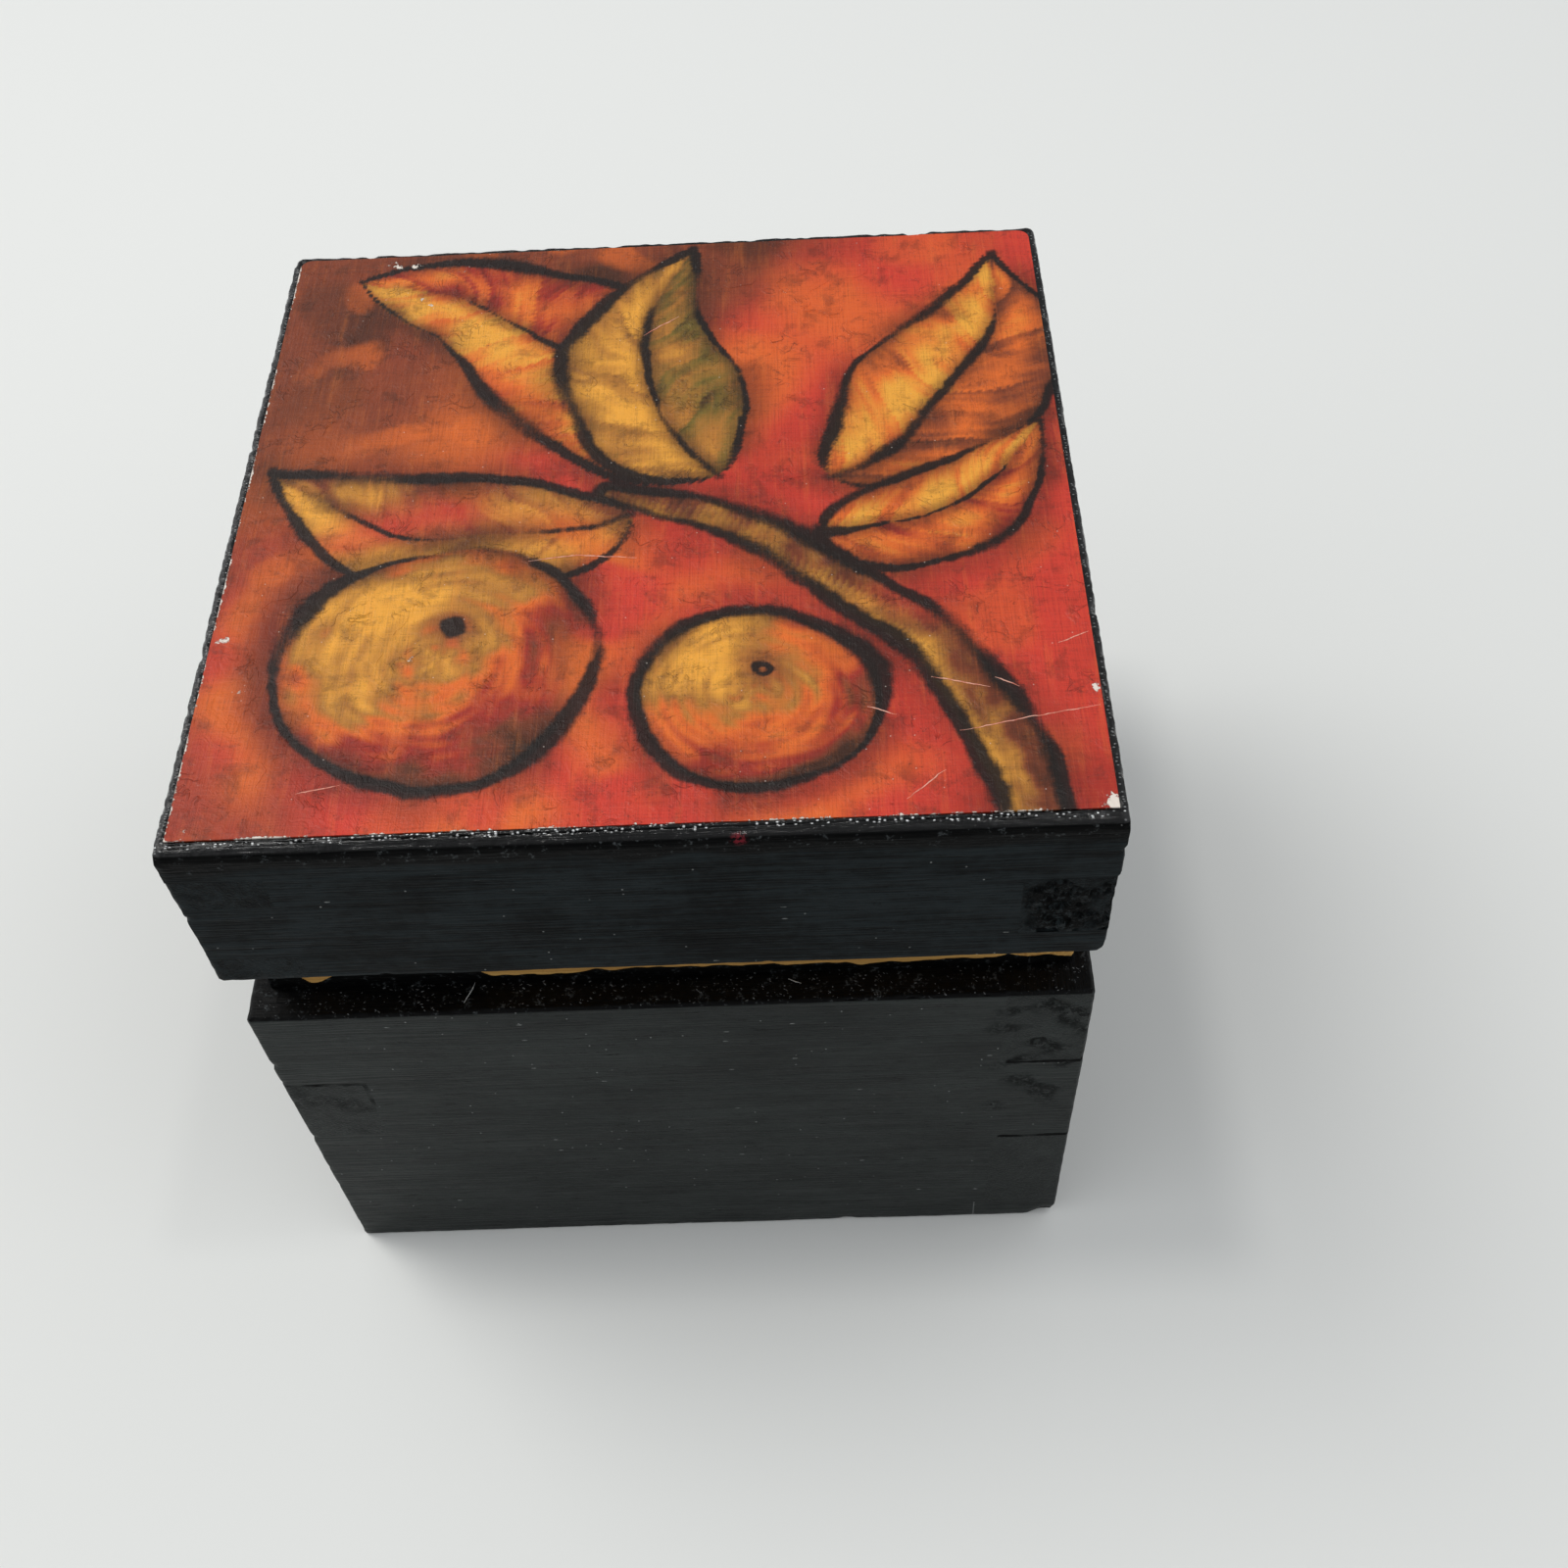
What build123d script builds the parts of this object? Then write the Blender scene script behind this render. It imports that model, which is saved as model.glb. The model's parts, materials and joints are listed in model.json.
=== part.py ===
# Small wooden trinket box, nearly a cube, with a lid that lifts straight off.
# Four finger-jointed boards stand on a floor panel. Their top edge is cut back from outside into a
# neck, and the lid, a frame of four finger-jointed rails under a thin panel, drops over that neck.
# Millimetres. The origin is the middle of the underside, +Z is up and the front looks along -Y.

import os

from build123d import *

# Stock that the box is cut from
wall_thickness = 10.3
panel_thickness = 4.8
print_thickness = 0.3

# Body, up to the rim that shows below the lid
body_width = 99.4
body_depth = 98.4
rim_height = 61.9

# Neck above the rim, set back from the faces of the boards
neck_inset_front = 4.3
neck_inset_side = 2.2
neck_edge_round = 0.6

# Lid, which stands proud of the body and hangs this far down over the neck
lid_overhang = 0.3
lid_rail_height = 19.8
socket_depth = 6.0
shadow_gap = 9.2
neck_clearance = 0.4

# Finger joints of the body, as heights above the floor panel
front_tongue_start = 20.6
front_tongue_height = 20.3
side_tongue_start = 27.0
side_tongue_height = 13.7

# Finger joints of the lid, as heights above the rails' lower edge
rail_tongue_start = 4.7
rail_tongue_height = 10.1

# Worn edges, with the lid's top front edge rounded the most
edge_round = 0.6
front_arris_round = 1.6

# Bare border that the print leaves on the lid's flat top
print_border = 0.1

# Sizes that follow from the ones above
neck_width = body_width - 2 * neck_inset_side
neck_depth = body_depth - 2 * neck_inset_front
neck_height = shadow_gap + socket_depth
lid_width = body_width + 2 * lid_overhang
lid_depth = body_depth + 2 * lid_overhang
neck_top = rim_height + neck_height
lid_bottom = rim_height + shadow_gap
lid_rail_top = lid_bottom + lid_rail_height
lid_panel_top = lid_rail_top + panel_thickness

os.makedirs("parts", exist_ok=True)


def height_range(start, lower, height):
    """Lowest and highest level of a finger that begins at a distance above a lower edge."""
    return (start + lower, start + lower + height)


def outer_face(quarter_turns, distance):
    """Plane on one side of the box, seen from outside, with its Y axis up the box."""
    outward = Vector(0, -1, 0).rotate(Axis.Z, 90 * quarter_turns)
    across = Vector(1, 0, 0).rotate(Axis.Z, 90 * quarter_turns)
    return Plane(origin=outward * distance, x_dir=across, z_dir=outward)


def keep(piece, name):
    """Label a finished piece and write its file."""
    piece.part.label = name
    export_step(piece.part, f"parts/{name}.step")
    print(name, round(piece.part.volume), "mm3")


def finger_board(name, form, face, run, levels, notch, tongue, notch_end):
    """Board of a frame, cut from the frame's form. Seen from outside it has a notch at one end,
    for the neighbour's tongue, and its own tongue at the other. notch_end is -1 for left, 1 for right."""
    end_centre = notch_end * (run - wall_thickness) / 2
    with BuildPart() as board:
        with BuildSketch(face):
            with Locations((0, sum(levels) / 2)):
                Rectangle(run, levels[1] - levels[0])
            with Locations((end_centre, sum(notch) / 2)):
                Rectangle(wall_thickness, notch[1] - notch[0], mode=Mode.SUBTRACT)
            for low, high in ((levels[0], tongue[0]), (tongue[1], levels[1])):
                with Locations((-end_centre, (low + high) / 2)):
                    Rectangle(wall_thickness, high - low, mode=Mode.SUBTRACT)
        extrude(amount=-wall_thickness)
        add(form, mode=Mode.INTERSECT)
    keep(board, name)


def frame_of_boards(pattern, form, width, depth, levels, front_tongue, side_tongue, notch_end):
    """The four boards of a frame: each side's notch holds the tongue of the neighbour it meets."""
    for quarter_turns, side in enumerate(("front", "right", "back", "left")):
        along_width = side in ("front", "back")
        face = outer_face(quarter_turns, (depth if along_width else width) / 2)
        run = width if along_width else depth
        tongue = front_tongue if along_width else side_tongue
        notch = side_tongue if along_width else front_tongue
        finger_board(pattern.format(side), form, face, run, levels, notch, tongue, notch_end)


# Floor panel, under all four boards
with BuildPart() as floor_panel:
    with BuildSketch():
        Rectangle(body_width, body_depth)
    extrude(amount=panel_thickness)
    fillet(floor_panel.edges().filter_by(Axis.Z), edge_round)
    fillet(floor_panel.faces().sort_by(Axis.Z)[0].edges(), edge_round)
keep(floor_panel, "body_floor_panel")

# Form of the body's boards: the block up to the rim, with the neck on top
with BuildPart() as body_form:
    with BuildSketch(Plane.XY.offset(panel_thickness)):
        Rectangle(body_width, body_depth)
    extrude(amount=rim_height - panel_thickness)
    fillet(body_form.edges().filter_by(Axis.Z), edge_round)
    fillet(body_form.faces().sort_by(Axis.Z)[-1].edges(), edge_round)
    with BuildSketch(Plane.XY.offset(rim_height)):
        RectangleRounded(neck_width, neck_depth, neck_edge_round)
    extrude(amount=neck_height)
    fillet(body_form.faces().sort_by(Axis.Z)[-1].edges(), neck_edge_round)

frame_of_boards(
    "body_{}_board",
    body_form.part,
    body_width,
    body_depth,
    (panel_thickness, neck_top),
    height_range(panel_thickness, front_tongue_start, front_tongue_height),
    height_range(panel_thickness, side_tongue_start, side_tongue_height),
    notch_end=-1,
)

# Form of the lid's rails: a block with a socket below that takes the neck
with BuildPart() as lid_form:
    with BuildSketch(Plane.XY.offset(lid_bottom)):
        Rectangle(lid_width, lid_depth)
    extrude(amount=lid_rail_height)
    fillet(lid_form.edges().filter_by(Axis.Z), edge_round)
    fillet(lid_form.faces().sort_by(Axis.Z)[0].edges(), edge_round)
    with BuildSketch(Plane.XY.offset(lid_bottom)):
        Rectangle(neck_width + 2 * neck_clearance, neck_depth + 2 * neck_clearance)
    extrude(amount=socket_depth, mode=Mode.SUBTRACT)

rail_tongue = height_range(lid_bottom, rail_tongue_start, rail_tongue_height)
frame_of_boards(
    "lid_{}_rail",
    lid_form.part,
    lid_width,
    lid_depth,
    (lid_bottom, lid_rail_top),
    rail_tongue,
    rail_tongue,
    notch_end=1,
)

# Top panel of the lid, over all four rails
with BuildPart() as top_panel:
    with BuildSketch(Plane.XY.offset(lid_rail_top)):
        Rectangle(lid_width, lid_depth)
    extrude(amount=panel_thickness)
    fillet(top_panel.faces().sort_by(Axis.Z)[-1].edges().sort_by(Axis.Y)[0], front_arris_round)
    other_top_edges = top_panel.faces().sort_by(Axis.Z)[-1].edges().sort_by(Axis.Y)[1:]
    fillet(top_panel.edges().filter_by(Axis.Z) + other_top_edges, edge_round)
keep(top_panel, "lid_top_panel")

# Print: a thin varnished sheet on the flat of the top panel
with BuildPart() as print_sheet:
    flat = top_panel.faces().filter_by(Axis.Z).sort_by(Axis.Z)[-1].bounding_box()
    with BuildSketch(Plane.XY.offset(lid_panel_top)):
        with Locations((flat.center().X, flat.center().Y)):
            Rectangle(flat.size.X - 2 * print_border, flat.size.Y - 2 * print_border)
    extrude(amount=print_thickness)
keep(print_sheet, "lid_print")
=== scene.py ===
# Looks of a small wooden trinket box: hand-brushed black paint outside, bare ochre wood inside and
# on the neck, and a varnished picture sheet with a generic leaf and fruit design on the lid.
# Metres, in the same frame as the CAD: +Z up, front towards -Y, origin under the middle of the box.

import json
import math

import bmesh
import bpy
import numpy as np
from mathutils import Matrix, Vector
from mathutils.bvhtree import BVHTree


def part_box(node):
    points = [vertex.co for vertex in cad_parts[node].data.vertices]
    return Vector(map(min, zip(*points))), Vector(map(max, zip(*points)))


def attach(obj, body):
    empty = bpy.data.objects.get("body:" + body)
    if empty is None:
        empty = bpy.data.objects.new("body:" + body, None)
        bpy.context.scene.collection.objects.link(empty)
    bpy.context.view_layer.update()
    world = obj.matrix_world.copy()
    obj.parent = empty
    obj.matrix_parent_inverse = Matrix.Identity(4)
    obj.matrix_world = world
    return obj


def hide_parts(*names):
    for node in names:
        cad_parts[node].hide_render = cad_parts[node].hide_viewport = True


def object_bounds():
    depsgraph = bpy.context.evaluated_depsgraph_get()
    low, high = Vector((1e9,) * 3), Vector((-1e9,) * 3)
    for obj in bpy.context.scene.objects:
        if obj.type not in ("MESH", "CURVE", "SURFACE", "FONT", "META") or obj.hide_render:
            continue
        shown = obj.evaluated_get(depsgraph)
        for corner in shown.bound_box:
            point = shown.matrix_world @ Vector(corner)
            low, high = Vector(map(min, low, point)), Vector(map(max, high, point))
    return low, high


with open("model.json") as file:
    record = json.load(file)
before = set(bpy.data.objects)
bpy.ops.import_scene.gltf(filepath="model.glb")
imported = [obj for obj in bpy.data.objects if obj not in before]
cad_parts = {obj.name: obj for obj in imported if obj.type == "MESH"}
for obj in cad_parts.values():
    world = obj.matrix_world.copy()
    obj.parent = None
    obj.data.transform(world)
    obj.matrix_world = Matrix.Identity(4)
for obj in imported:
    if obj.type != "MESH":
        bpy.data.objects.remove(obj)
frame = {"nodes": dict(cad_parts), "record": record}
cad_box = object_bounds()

MM = 0.001

# Camera, at the photo's viewing angle
CAMERA_PLACE = (19.2 * MM, -154.6 * MM, 242.2 * MM)
CAMERA_LENS = 40.94
CAMERA_YAW = math.radians(-2.19)
CAMERA_PITCH = math.radians(52.67)
CAMERA_ROLL = math.radians(-3.84)

# Cells of the meshes that stand for boards, rails, panels and the sheet. Fine places get a third
BOARD_CELL = 0.55 * MM
RAIL_CELL = 0.48 * MM
PANEL_CELL = 0.66 * MM
SHEET_CELL = 0.34 * MM
SHARP_EDGE = math.radians(55)

# The sheet leaves this much of the lid's flat bare, more than the CAD sheet, and its back corners
# and the lid's are rubbed round. Its top lies a little low, so that the varnish on it has room
SHEET_TRIM = {"left": 0.45 * MM, "right": 0.35 * MM, "front": 0.2 * MM, "back": 0.2 * MM}
BACK_CORNER_RADIUS = 1.9 * MM
SHEET_CORNER_RADIUS = 1.5 * MM
VARNISH_DEPTH = 0.10 * MM

# Paint that ran up the neck above the rim, and up inside the lid's lip. On the neck's front it climbs
# further: in a hump left of the middle, at the left end and a little on the right half. The last two
# rises go on round the corners, as far as the middle of the neck's sides, and stop there in a step
NECK_PAINT = 1.05 * MM
LIP_PAINT = 1.2 * MM
HUMP_RISE = 2.6 * MM
HUMP_MIDDLE = -30.5 * MM
LEFT_END_RISE = 2.4 * MM
RIGHT_HALF_RISE = 0.40 * MM

# The rails beside the socket are a little thicker than this, at the sides and at the front
SOCKET_WALL = np.array((1.9, 3.9)) * MM

# Colours, as linear light
LID_BLACK = (0.0010, 0.0016, 0.0019)
LID_STREAK = (0.0130, 0.0180, 0.0200)
# The body's black and streak colours are lighter than the lid's: partly dust, partly a painted reflection
# of the bright floor on the body's sides
BODY_BLACK = (0.0060, 0.0074, 0.0072)
BODY_STREAK = (0.0250, 0.0300, 0.0286)
DRIED_PAINT = (0.060, 0.067, 0.070)
PITCH_BLACK = (0.0010, 0.0011, 0.0012)
BARE_WOOD = (0.60, 0.36, 0.11)
WOOD_LATE = (0.40, 0.20, 0.055)
DUST = (0.42, 0.44, 0.43)
# Painted highlights: bright dots on the thick paint in front of the sheet
PAINTED_GLINT = (0.80, 0.82, 0.82)
INK = (0.010, 0.007, 0.006)
RED = (0.60, 0.047, 0.028)
DEEP_RED = (0.34, 0.026, 0.016)
BROWN = (0.20, 0.045, 0.018)
UMBER = (0.045, 0.016, 0.008)
ORANGE = (0.74, 0.150, 0.024)
OCHRE = (0.42, 0.17, 0.030)
YELLOW = (0.82, 0.37, 0.048)
OLIVE = (0.17, 0.12, 0.022)
PAPER = (0.78, 0.70, 0.62)
PAPER_DIRT = (0.35, 0.28, 0.24)
LIGHT_WASH = (0.90, 0.26, 0.05)
# Dark wash of the picture, also used as painted shade in the varnish creases
DARK_WASH_AND_CREASE_SHADE = (0.035, 0.014, 0.008)
RED_PAINT = (0.16, 0.012, 0.02)
WOOD_PORE = (0.20, 0.10, 0.035)
SCRATCH = (0.80, 0.42, 0.32)
SCRATCH_DIRT = (0.60, 0.18, 0.12)
LEDGE_DUST = (0.010, 0.011, 0.011)
# Pale flecks on the ledge: dried paint, and painted highlights for glints on its rough paint
DRIED_FLECK_AND_GLINT = (0.15, 0.16, 0.165)
LINT = (0.62, 0.64, 0.63)
LINT_DIRT = (0.40, 0.41, 0.40)
FLOOR_GREY = (0.80, 0.81, 0.79)
SKY = (0.95, 0.97, 1.0)

BODY_OF = {node: body for body, nodes in frame["record"]["behaviour"]["bodies"].items() for node in nodes}
SHEET = "lid_print"
WOODEN = [node for node in BODY_OF if node != SHEET]


# Places of the box, read from the frame

def top_of_face(node, depth):
    """Highest point of a board within a depth of its front."""
    low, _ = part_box(node)
    return max(v.co.z for v in frame["nodes"][node].data.vertices if v.co.y < low.y + depth)


RIM = top_of_face("body_front_board", 1 * MM)
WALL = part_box("body_front_board")[1].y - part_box("body_front_board")[0].y
LID_HIGH = np.array(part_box("lid_top_panel")[1])
LID_LOW = np.array((*-LID_HIGH[:2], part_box("lid_front_rail")[0].z))
BODY_HIGH = np.array((*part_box("body_floor_panel")[1][:2], RIM))
BODY_LOW = np.array((*-BODY_HIGH[:2], 0))
NECK_POINTS = [v.co for v in frame["nodes"]["body_right_board"].data.vertices if v.co.z > RIM + 1 * MM]
NECK_FRONT = max(point.y for point in NECK_POINTS)
NECK_SIDE = max(point.x for point in NECK_POINTS)
NECK_HIGH = np.array((NECK_SIDE, NECK_FRONT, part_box("body_right_board")[1].z))
NECK_LOW = np.array((-NECK_SIDE, -NECK_FRONT, RIM - 5 * MM))
SHEET_LOW, SHEET_HIGH = (np.array(corner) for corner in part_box(SHEET))
SHEET_LOW[:2] += (SHEET_TRIM["left"], SHEET_TRIM["front"])
SHEET_HIGH[:2] -= (SHEET_TRIM["right"], SHEET_TRIM["back"])
SHEET_MIDDLE = (SHEET_LOW + SHEET_HIGH) / 2


# Random fields and ramps

def waves(points, size, seed, count=40):
    """Smooth random field over points, from about -1 to 1, whose bumps have the given size."""
    rng = np.random.default_rng(seed)
    directions = rng.normal(size=(count, points.shape[1]))
    directions /= np.linalg.norm(directions, axis=1, keepdims=True)
    directions *= math.pi / size * rng.uniform(0.5, 1.5, (count, 1))
    phases = rng.uniform(0, 2 * math.pi, count)
    return np.cos(points @ directions.T + phases).sum(axis=1) * math.sqrt(1.0 / count)


def smooth(values, start, end):
    """0 before start, 1 after end, and an even curve between."""
    t = np.clip((values - start) / (end - start), 0, 1)
    return t * t * (3 - 2 * t)


def fade_out(values, start, end):
    """1 before start, 0 after end, and an even curve between."""
    return 1 - smooth(values, start, end)


def blend(factor, first, second):
    """Mix of two colours or arrays of colours by a factor for each point."""
    return first + (np.asarray(second) - first) * np.asarray(factor)[:, None]


def shades(tone, *steps):
    """Colour of each tone, read between steps that each give a tone and its colour."""
    levels = [level for level, _ in steps]
    channels = zip(*(colour for _, colour in steps))
    return np.stack([np.interp(tone, levels, channel) for channel in channels], axis=1)


def outward(points, low, high, reach=0.6 * MM):
    """Direction straight out of a block for points on its faces, fading to 0 at reach inside it."""
    middle, half = (low + high) / 2, (high - low) / 2
    past = np.maximum(np.abs(points - middle) - (half - reach), 0) * np.sign(points - middle)
    length = np.linalg.norm(past, axis=1, keepdims=True)
    return past / np.maximum(length, 1e-9) * smooth(length, 0, reach)


def within(points, high, margin):
    """True for points further in than a margin from the sides of a block around the box's middle."""
    return np.all(np.abs(points[:, :2]) < high[:2] - margin, axis=1)


# Meshes

def points_of(mesh):
    """Coordinates and normals of a mesh's points, as two arrays."""
    co = np.empty(len(mesh.vertices) * 3)
    mesh.vertices.foreach_get("co", co)
    normals = np.empty(len(mesh.vertices) * 3)
    mesh.vertex_normals.foreach_get("vector", normals)
    return co.reshape(-1, 3), normals.reshape(-1, 3)


def move_points(mesh, points):
    """Puts a mesh's points at new places, never outside the CAD box."""
    inside = np.clip(points, np.array(cad_box[0]), np.array(cad_box[1]))
    mesh.vertices.foreach_set("co", inside.ravel())
    mesh.update()


def add_field(mesh, name, values):
    """Keeps one value or vector for each point, for the materials to read."""
    values = np.asarray(values, np.float32)
    kind, field = ("FLOAT", "value") if values.ndim == 1 else ("FLOAT_VECTOR", "vector")
    attribute = mesh.attributes.new(name, kind, "POINT")
    attribute.data.foreach_set(field, values.ravel())


def shown_piece(name, mesh, materials, body, replaced=None):
    """A finished piece at the origin, riding on its body."""
    piece = bpy.data.objects.new(name, mesh)
    bpy.context.scene.collection.objects.link(piece)
    mesh.materials.clear()
    for material in materials:
        mesh.materials.append(material)
    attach(piece, body)
    if replaced:
        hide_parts(replaced)
    return piece


def baked(worker):
    """Plain mesh of an object with its modifiers applied. The object itself is removed."""
    depsgraph = bpy.context.evaluated_depsgraph_get()
    mesh = bpy.data.meshes.new_from_object(worker.evaluated_get(depsgraph))
    bpy.data.objects.remove(worker)
    return mesh


def fine_places(node, centres):
    """Faces that get cells a third as wide: the rim and the paint line above it, the lid's upper
    edges and the rough end grain at the lid's front right."""
    x, y, z = centres.T
    if node.endswith("_board"):
        return (z > RIM - 1.2 * MM) & (z < RIM + 2.6 * MM)
    if node == "lid_top_panel":
        beside_sheet = (x < SHEET_LOW[0] + 0.3 * MM) | (x > SHEET_HIGH[0] - 0.3 * MM)
        beside_sheet |= (y < SHEET_LOW[1] + 0.3 * MM) | (y > SHEET_HIGH[1] - 0.3 * MM)
        front_edge = (y < LID_LOW[1] + 0.3 * MM) & (z > LID_HIGH[2] - 2.4 * MM)
        return beside_sheet & (z > LID_HIGH[2] - 1.0 * MM) | front_edge
    if node == "lid_right_rail":
        return y < LID_LOW[1] + 0.2 * MM
    return np.zeros(len(centres), bool)


def fine_copy(node, cell):
    """Closed, evenly divided mesh with the sharp shape of a CAD node."""
    shape = bmesh.new()
    shape.from_mesh(frame["nodes"][node].data)
    bmesh.ops.remove_doubles(shape, verts=shape.verts, dist=0.001 * MM)
    mesh = bpy.data.meshes.new(node)
    shape.to_mesh(mesh)
    shape.free()
    worker = bpy.data.objects.new(node, mesh)
    bpy.context.scene.collection.objects.link(worker)
    remesh = worker.modifiers.new("cells", "REMESH")
    remesh.mode = "SHARP"
    remesh.octree_depth = 8
    low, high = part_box(node)
    remesh.scale = min(0.99, max(high - low) / (2 ** remesh.octree_depth * cell))
    remesh.use_remove_disconnected = False
    remesh.use_smooth_shade = True
    mesh = baked(worker)
    shape = bmesh.new()
    shape.from_mesh(mesh)
    shape.faces.ensure_lookup_table()
    centres = np.array([face.calc_center_median() for face in shape.faces])
    chosen = np.flatnonzero(fine_places(node, centres))
    edges = {edge for index in chosen for edge in shape.faces[index].edges}
    bmesh.ops.subdivide_edges(shape, edges=list(edges), cuts=2, use_grid_fill=True)
    bmesh.ops.triangulate(shape, faces=[face for face in shape.faces if len(face.verts) > 4])
    shape.to_mesh(mesh)
    shape.free()
    points, _ = points_of(mesh)
    move_points(mesh, np.clip(points, np.array(low), np.array(high)))
    return mesh


# Wear of the boards. Dents have a place, a radius and a depth, in millimetres
DENTS = [
    ((-49.9, -49.4, 50.4), 1.2, 0.50),
    ((-49.9, -49.4, 46.0), 0.9, 0.35),
    ((-49.9, -49.4, 31.0), 1.2, 0.50),
    ((-49.9, -49.4, 22.0), 0.8, 0.25),
    ((-50.0, -49.5, 84.0), 0.9, 0.30),
    ((50.0, -49.5, 90.5), 1.0, 0.25),
    ((50.0, -20.0, 95.5), 1.2, 0.35),
    ((-50.0, 12.0, 95.6), 1.0, 0.30),
    ((-50.0, -22.0, 95.6), 1.3, 0.30),
    ((33.5, 49.5, 95.7), 1.4, 0.35),
    ((-39.5, 49.5, 95.7), 1.0, 0.30),
    ((49.7, 49.2, 40.0), 1.4, 0.50),
    ((-49.7, 49.2, 12.0), 1.2, 0.45),
    ((48.5, -49.2, 0.0), 3.2, 0.70),
    ((20.0, -49.2, 0.0), 1.6, 0.20),
    ((-31.0, -49.5, 71.1), 1.1, 0.20),
    ((12.0, -49.5, 71.1), 0.8, 0.15),
]
WORN_CORNER_RADIUS = 2.4 * MM
WORN_CORNER_REACH = 9.0 * MM
STEP_IN = 0.35 * MM
STEP_REACH = 22.0 * MM
UPPER_TONGUE = 85.9 * MM

# Depths of broad and small unevenness, chips on edges, lumps of thick paint and open pores, in millimetres
BROAD_UNEVENNESS = 0.03
SMALL_UNEVENNESS = 0.015
EDGE_CHIP = 0.18
PAINT_LUMP = 0.08
OPEN_PORE = 0.42

# Spot of red paint on the lid's rounded front edge
RED_SPOT = (10.2 * MM, -49.1 * MM, 94.9 * MM)
RED_SPOT_RADIUS = 0.7 * MM


def rounded_off(points, axes, corner, inward, radius, strength=1.0):
    """Points pulled in to a rounded corner of an outline in two axes. inward gives the signs of the
    way from the corner to the outline's middle."""
    axes, inward = list(axes), np.array(inward)
    offset = points[:, axes] - (np.array(corner) + inward * radius)
    length = np.linalg.norm(offset, axis=1)
    outside = np.all(offset * inward < 0, axis=1) & (length > radius)
    pull = (1 - radius / np.maximum(length, 1e-9)) * outside * strength
    moved = points.copy()
    moved[:, axes] -= offset * pull[:, None]
    return moved


def way_out(node, points):
    """Direction out of the box's painted surface for each point of a board."""
    if BODY_OF[node] == "lid":
        return outward(points, LID_LOW, LID_HIGH)
    height = points[:, 2]
    on_neck = within(points, NECK_HIGH, 0.3 * MM) | (height > RIM + 0.05 * MM)
    on_neck &= height > RIM - 3 * MM
    body = outward(points, BODY_LOW, BODY_HIGH)
    return np.where(on_neck[:, None], outward(points, NECK_LOW, NECK_HIGH), body)


def on_edge(direction):
    """0 on flat faces, up to 1 on the rounded edges between them."""
    largest = np.abs(direction).max(axis=1) / np.maximum(np.linalg.norm(direction, axis=1), 1e-9)
    return np.clip((1 - largest) * 3.4, 0, 1)


def worn(node, points, wet, pitted):
    """Points of a board moved by unevenness, rubbed edges, dents, rough paint and open pores."""
    direction = way_out(node, points)
    edge = on_edge(direction)
    depth = BROAD_UNEVENNESS * (1 + waves(points, 11 * MM, 3))
    depth += SMALL_UNEVENNESS * (1 + waves(points, 3 * MM, 4))
    chips = 0.65 * waves(points, 1.1 * MM, 5) + 0.25 * waves(points, 5 * MM, 6)
    depth += EDGE_CHIP * edge * np.clip(chips, 0, 1.3)
    for place, radius, deep in DENTS:
        distance = np.linalg.norm(points / MM - np.array(place), axis=1)
        depth += deep * fade_out(distance, 0.2 * radius, radius)
    drawn_out = points * (0.5, 1, 1)
    lumps = 0.5 * waves(drawn_out, 0.9 * MM, 21) + 0.3 * waves(drawn_out, 0.5 * MM, 22)
    depth += PAINT_LUMP * wet * np.clip(0.15 + lumps, -0.4, 0.9)
    pores = waves(points, 1.1 * MM, 26) + 0.6 * waves(points, 0.5 * MM, 27)
    depth += OPEN_PORE * pitted * smooth(pores, -0.2, 1.0)
    moved = points - direction * np.maximum(depth, 0)[:, None] * MM
    if BODY_OF[node] == "lid":
        moved = worn_lid(node, points, moved)
    return moved


def worn_lid(node, points, moved):
    """The lid's own wear: its right side stands back below the upper fingers near the front, its
    lower right corner is rubbed round, and black paint stands up around the sheet."""
    from_front = points[:, 1] - LID_LOW[1]
    near_front = fade_out(from_front, 0.4 * STEP_REACH, STEP_REACH)
    stands_back = (points[:, 2] < UPPER_TONGUE) & (points[:, 0] > LID_HIGH[0] - 1.2 * MM)
    moved[:, 0] -= STEP_IN * stands_back * near_front
    near_front = fade_out(from_front, 0.3 * WORN_CORNER_REACH, WORN_CORNER_REACH)
    corner = (LID_HIGH[0] - STEP_IN, LID_LOW[2])
    moved = rounded_off(moved, (0, 2), corner, (-1, 1), WORN_CORNER_RADIUS, near_front)
    for side in (-1, 1):
        corner = (side * LID_HIGH[0], LID_HIGH[1])
        moved = rounded_off(moved, (0, 1), corner, (-side, -1), BACK_CORNER_RADIUS)
    if node == "lid_top_panel":
        half = (SHEET_HIGH - SHEET_LOW) / 2
        past = np.linalg.norm(np.maximum(np.abs(points - SHEET_MIDDLE) - half, 0)[:, :2], axis=1)
        on_top = smooth(points[:, 2], LID_HIGH[2] - 0.7 * MM, LID_HIGH[2] - 0.1 * MM)
        ridge = smooth(past, 0.02 * MM, 0.25 * MM) * fade_out(past, 0.5 * MM, 1.3 * MM)
        swell = 0.06 + 0.06 * waves(points[:, :2], 3.5 * MM, 24) + 0.04 * waves(points[:, :2], 1.1 * MM, 25)
        moved[:, 2] += MM * ridge * on_top * np.clip(swell, 0, 0.15)
    return moved


# Fields that the materials read

def lengthwise_axis(node):
    """The axis along a board's grain: 0 for x, 1 for y."""
    return 1 if "_left_" in node or "_right_" in node else 0


def along_board(node, points):
    """Points in a board's own directions: along its grain, across it, and through it."""
    along = lengthwise_axis(node)
    across = 1 if node.endswith("_panel") else 2
    own = points[:, (along, across, 3 - along - across)]
    return own + WOODEN.index(node) * np.array((170.0, 23.0, 11.0)) * MM


def end_grain(node, normals):
    """1 on the ends of a board, where its grain is cut across, and 0 on its sides."""
    return smooth(np.abs(normals[:, lengthwise_axis(node)]), 0.6, 0.85)


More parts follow.
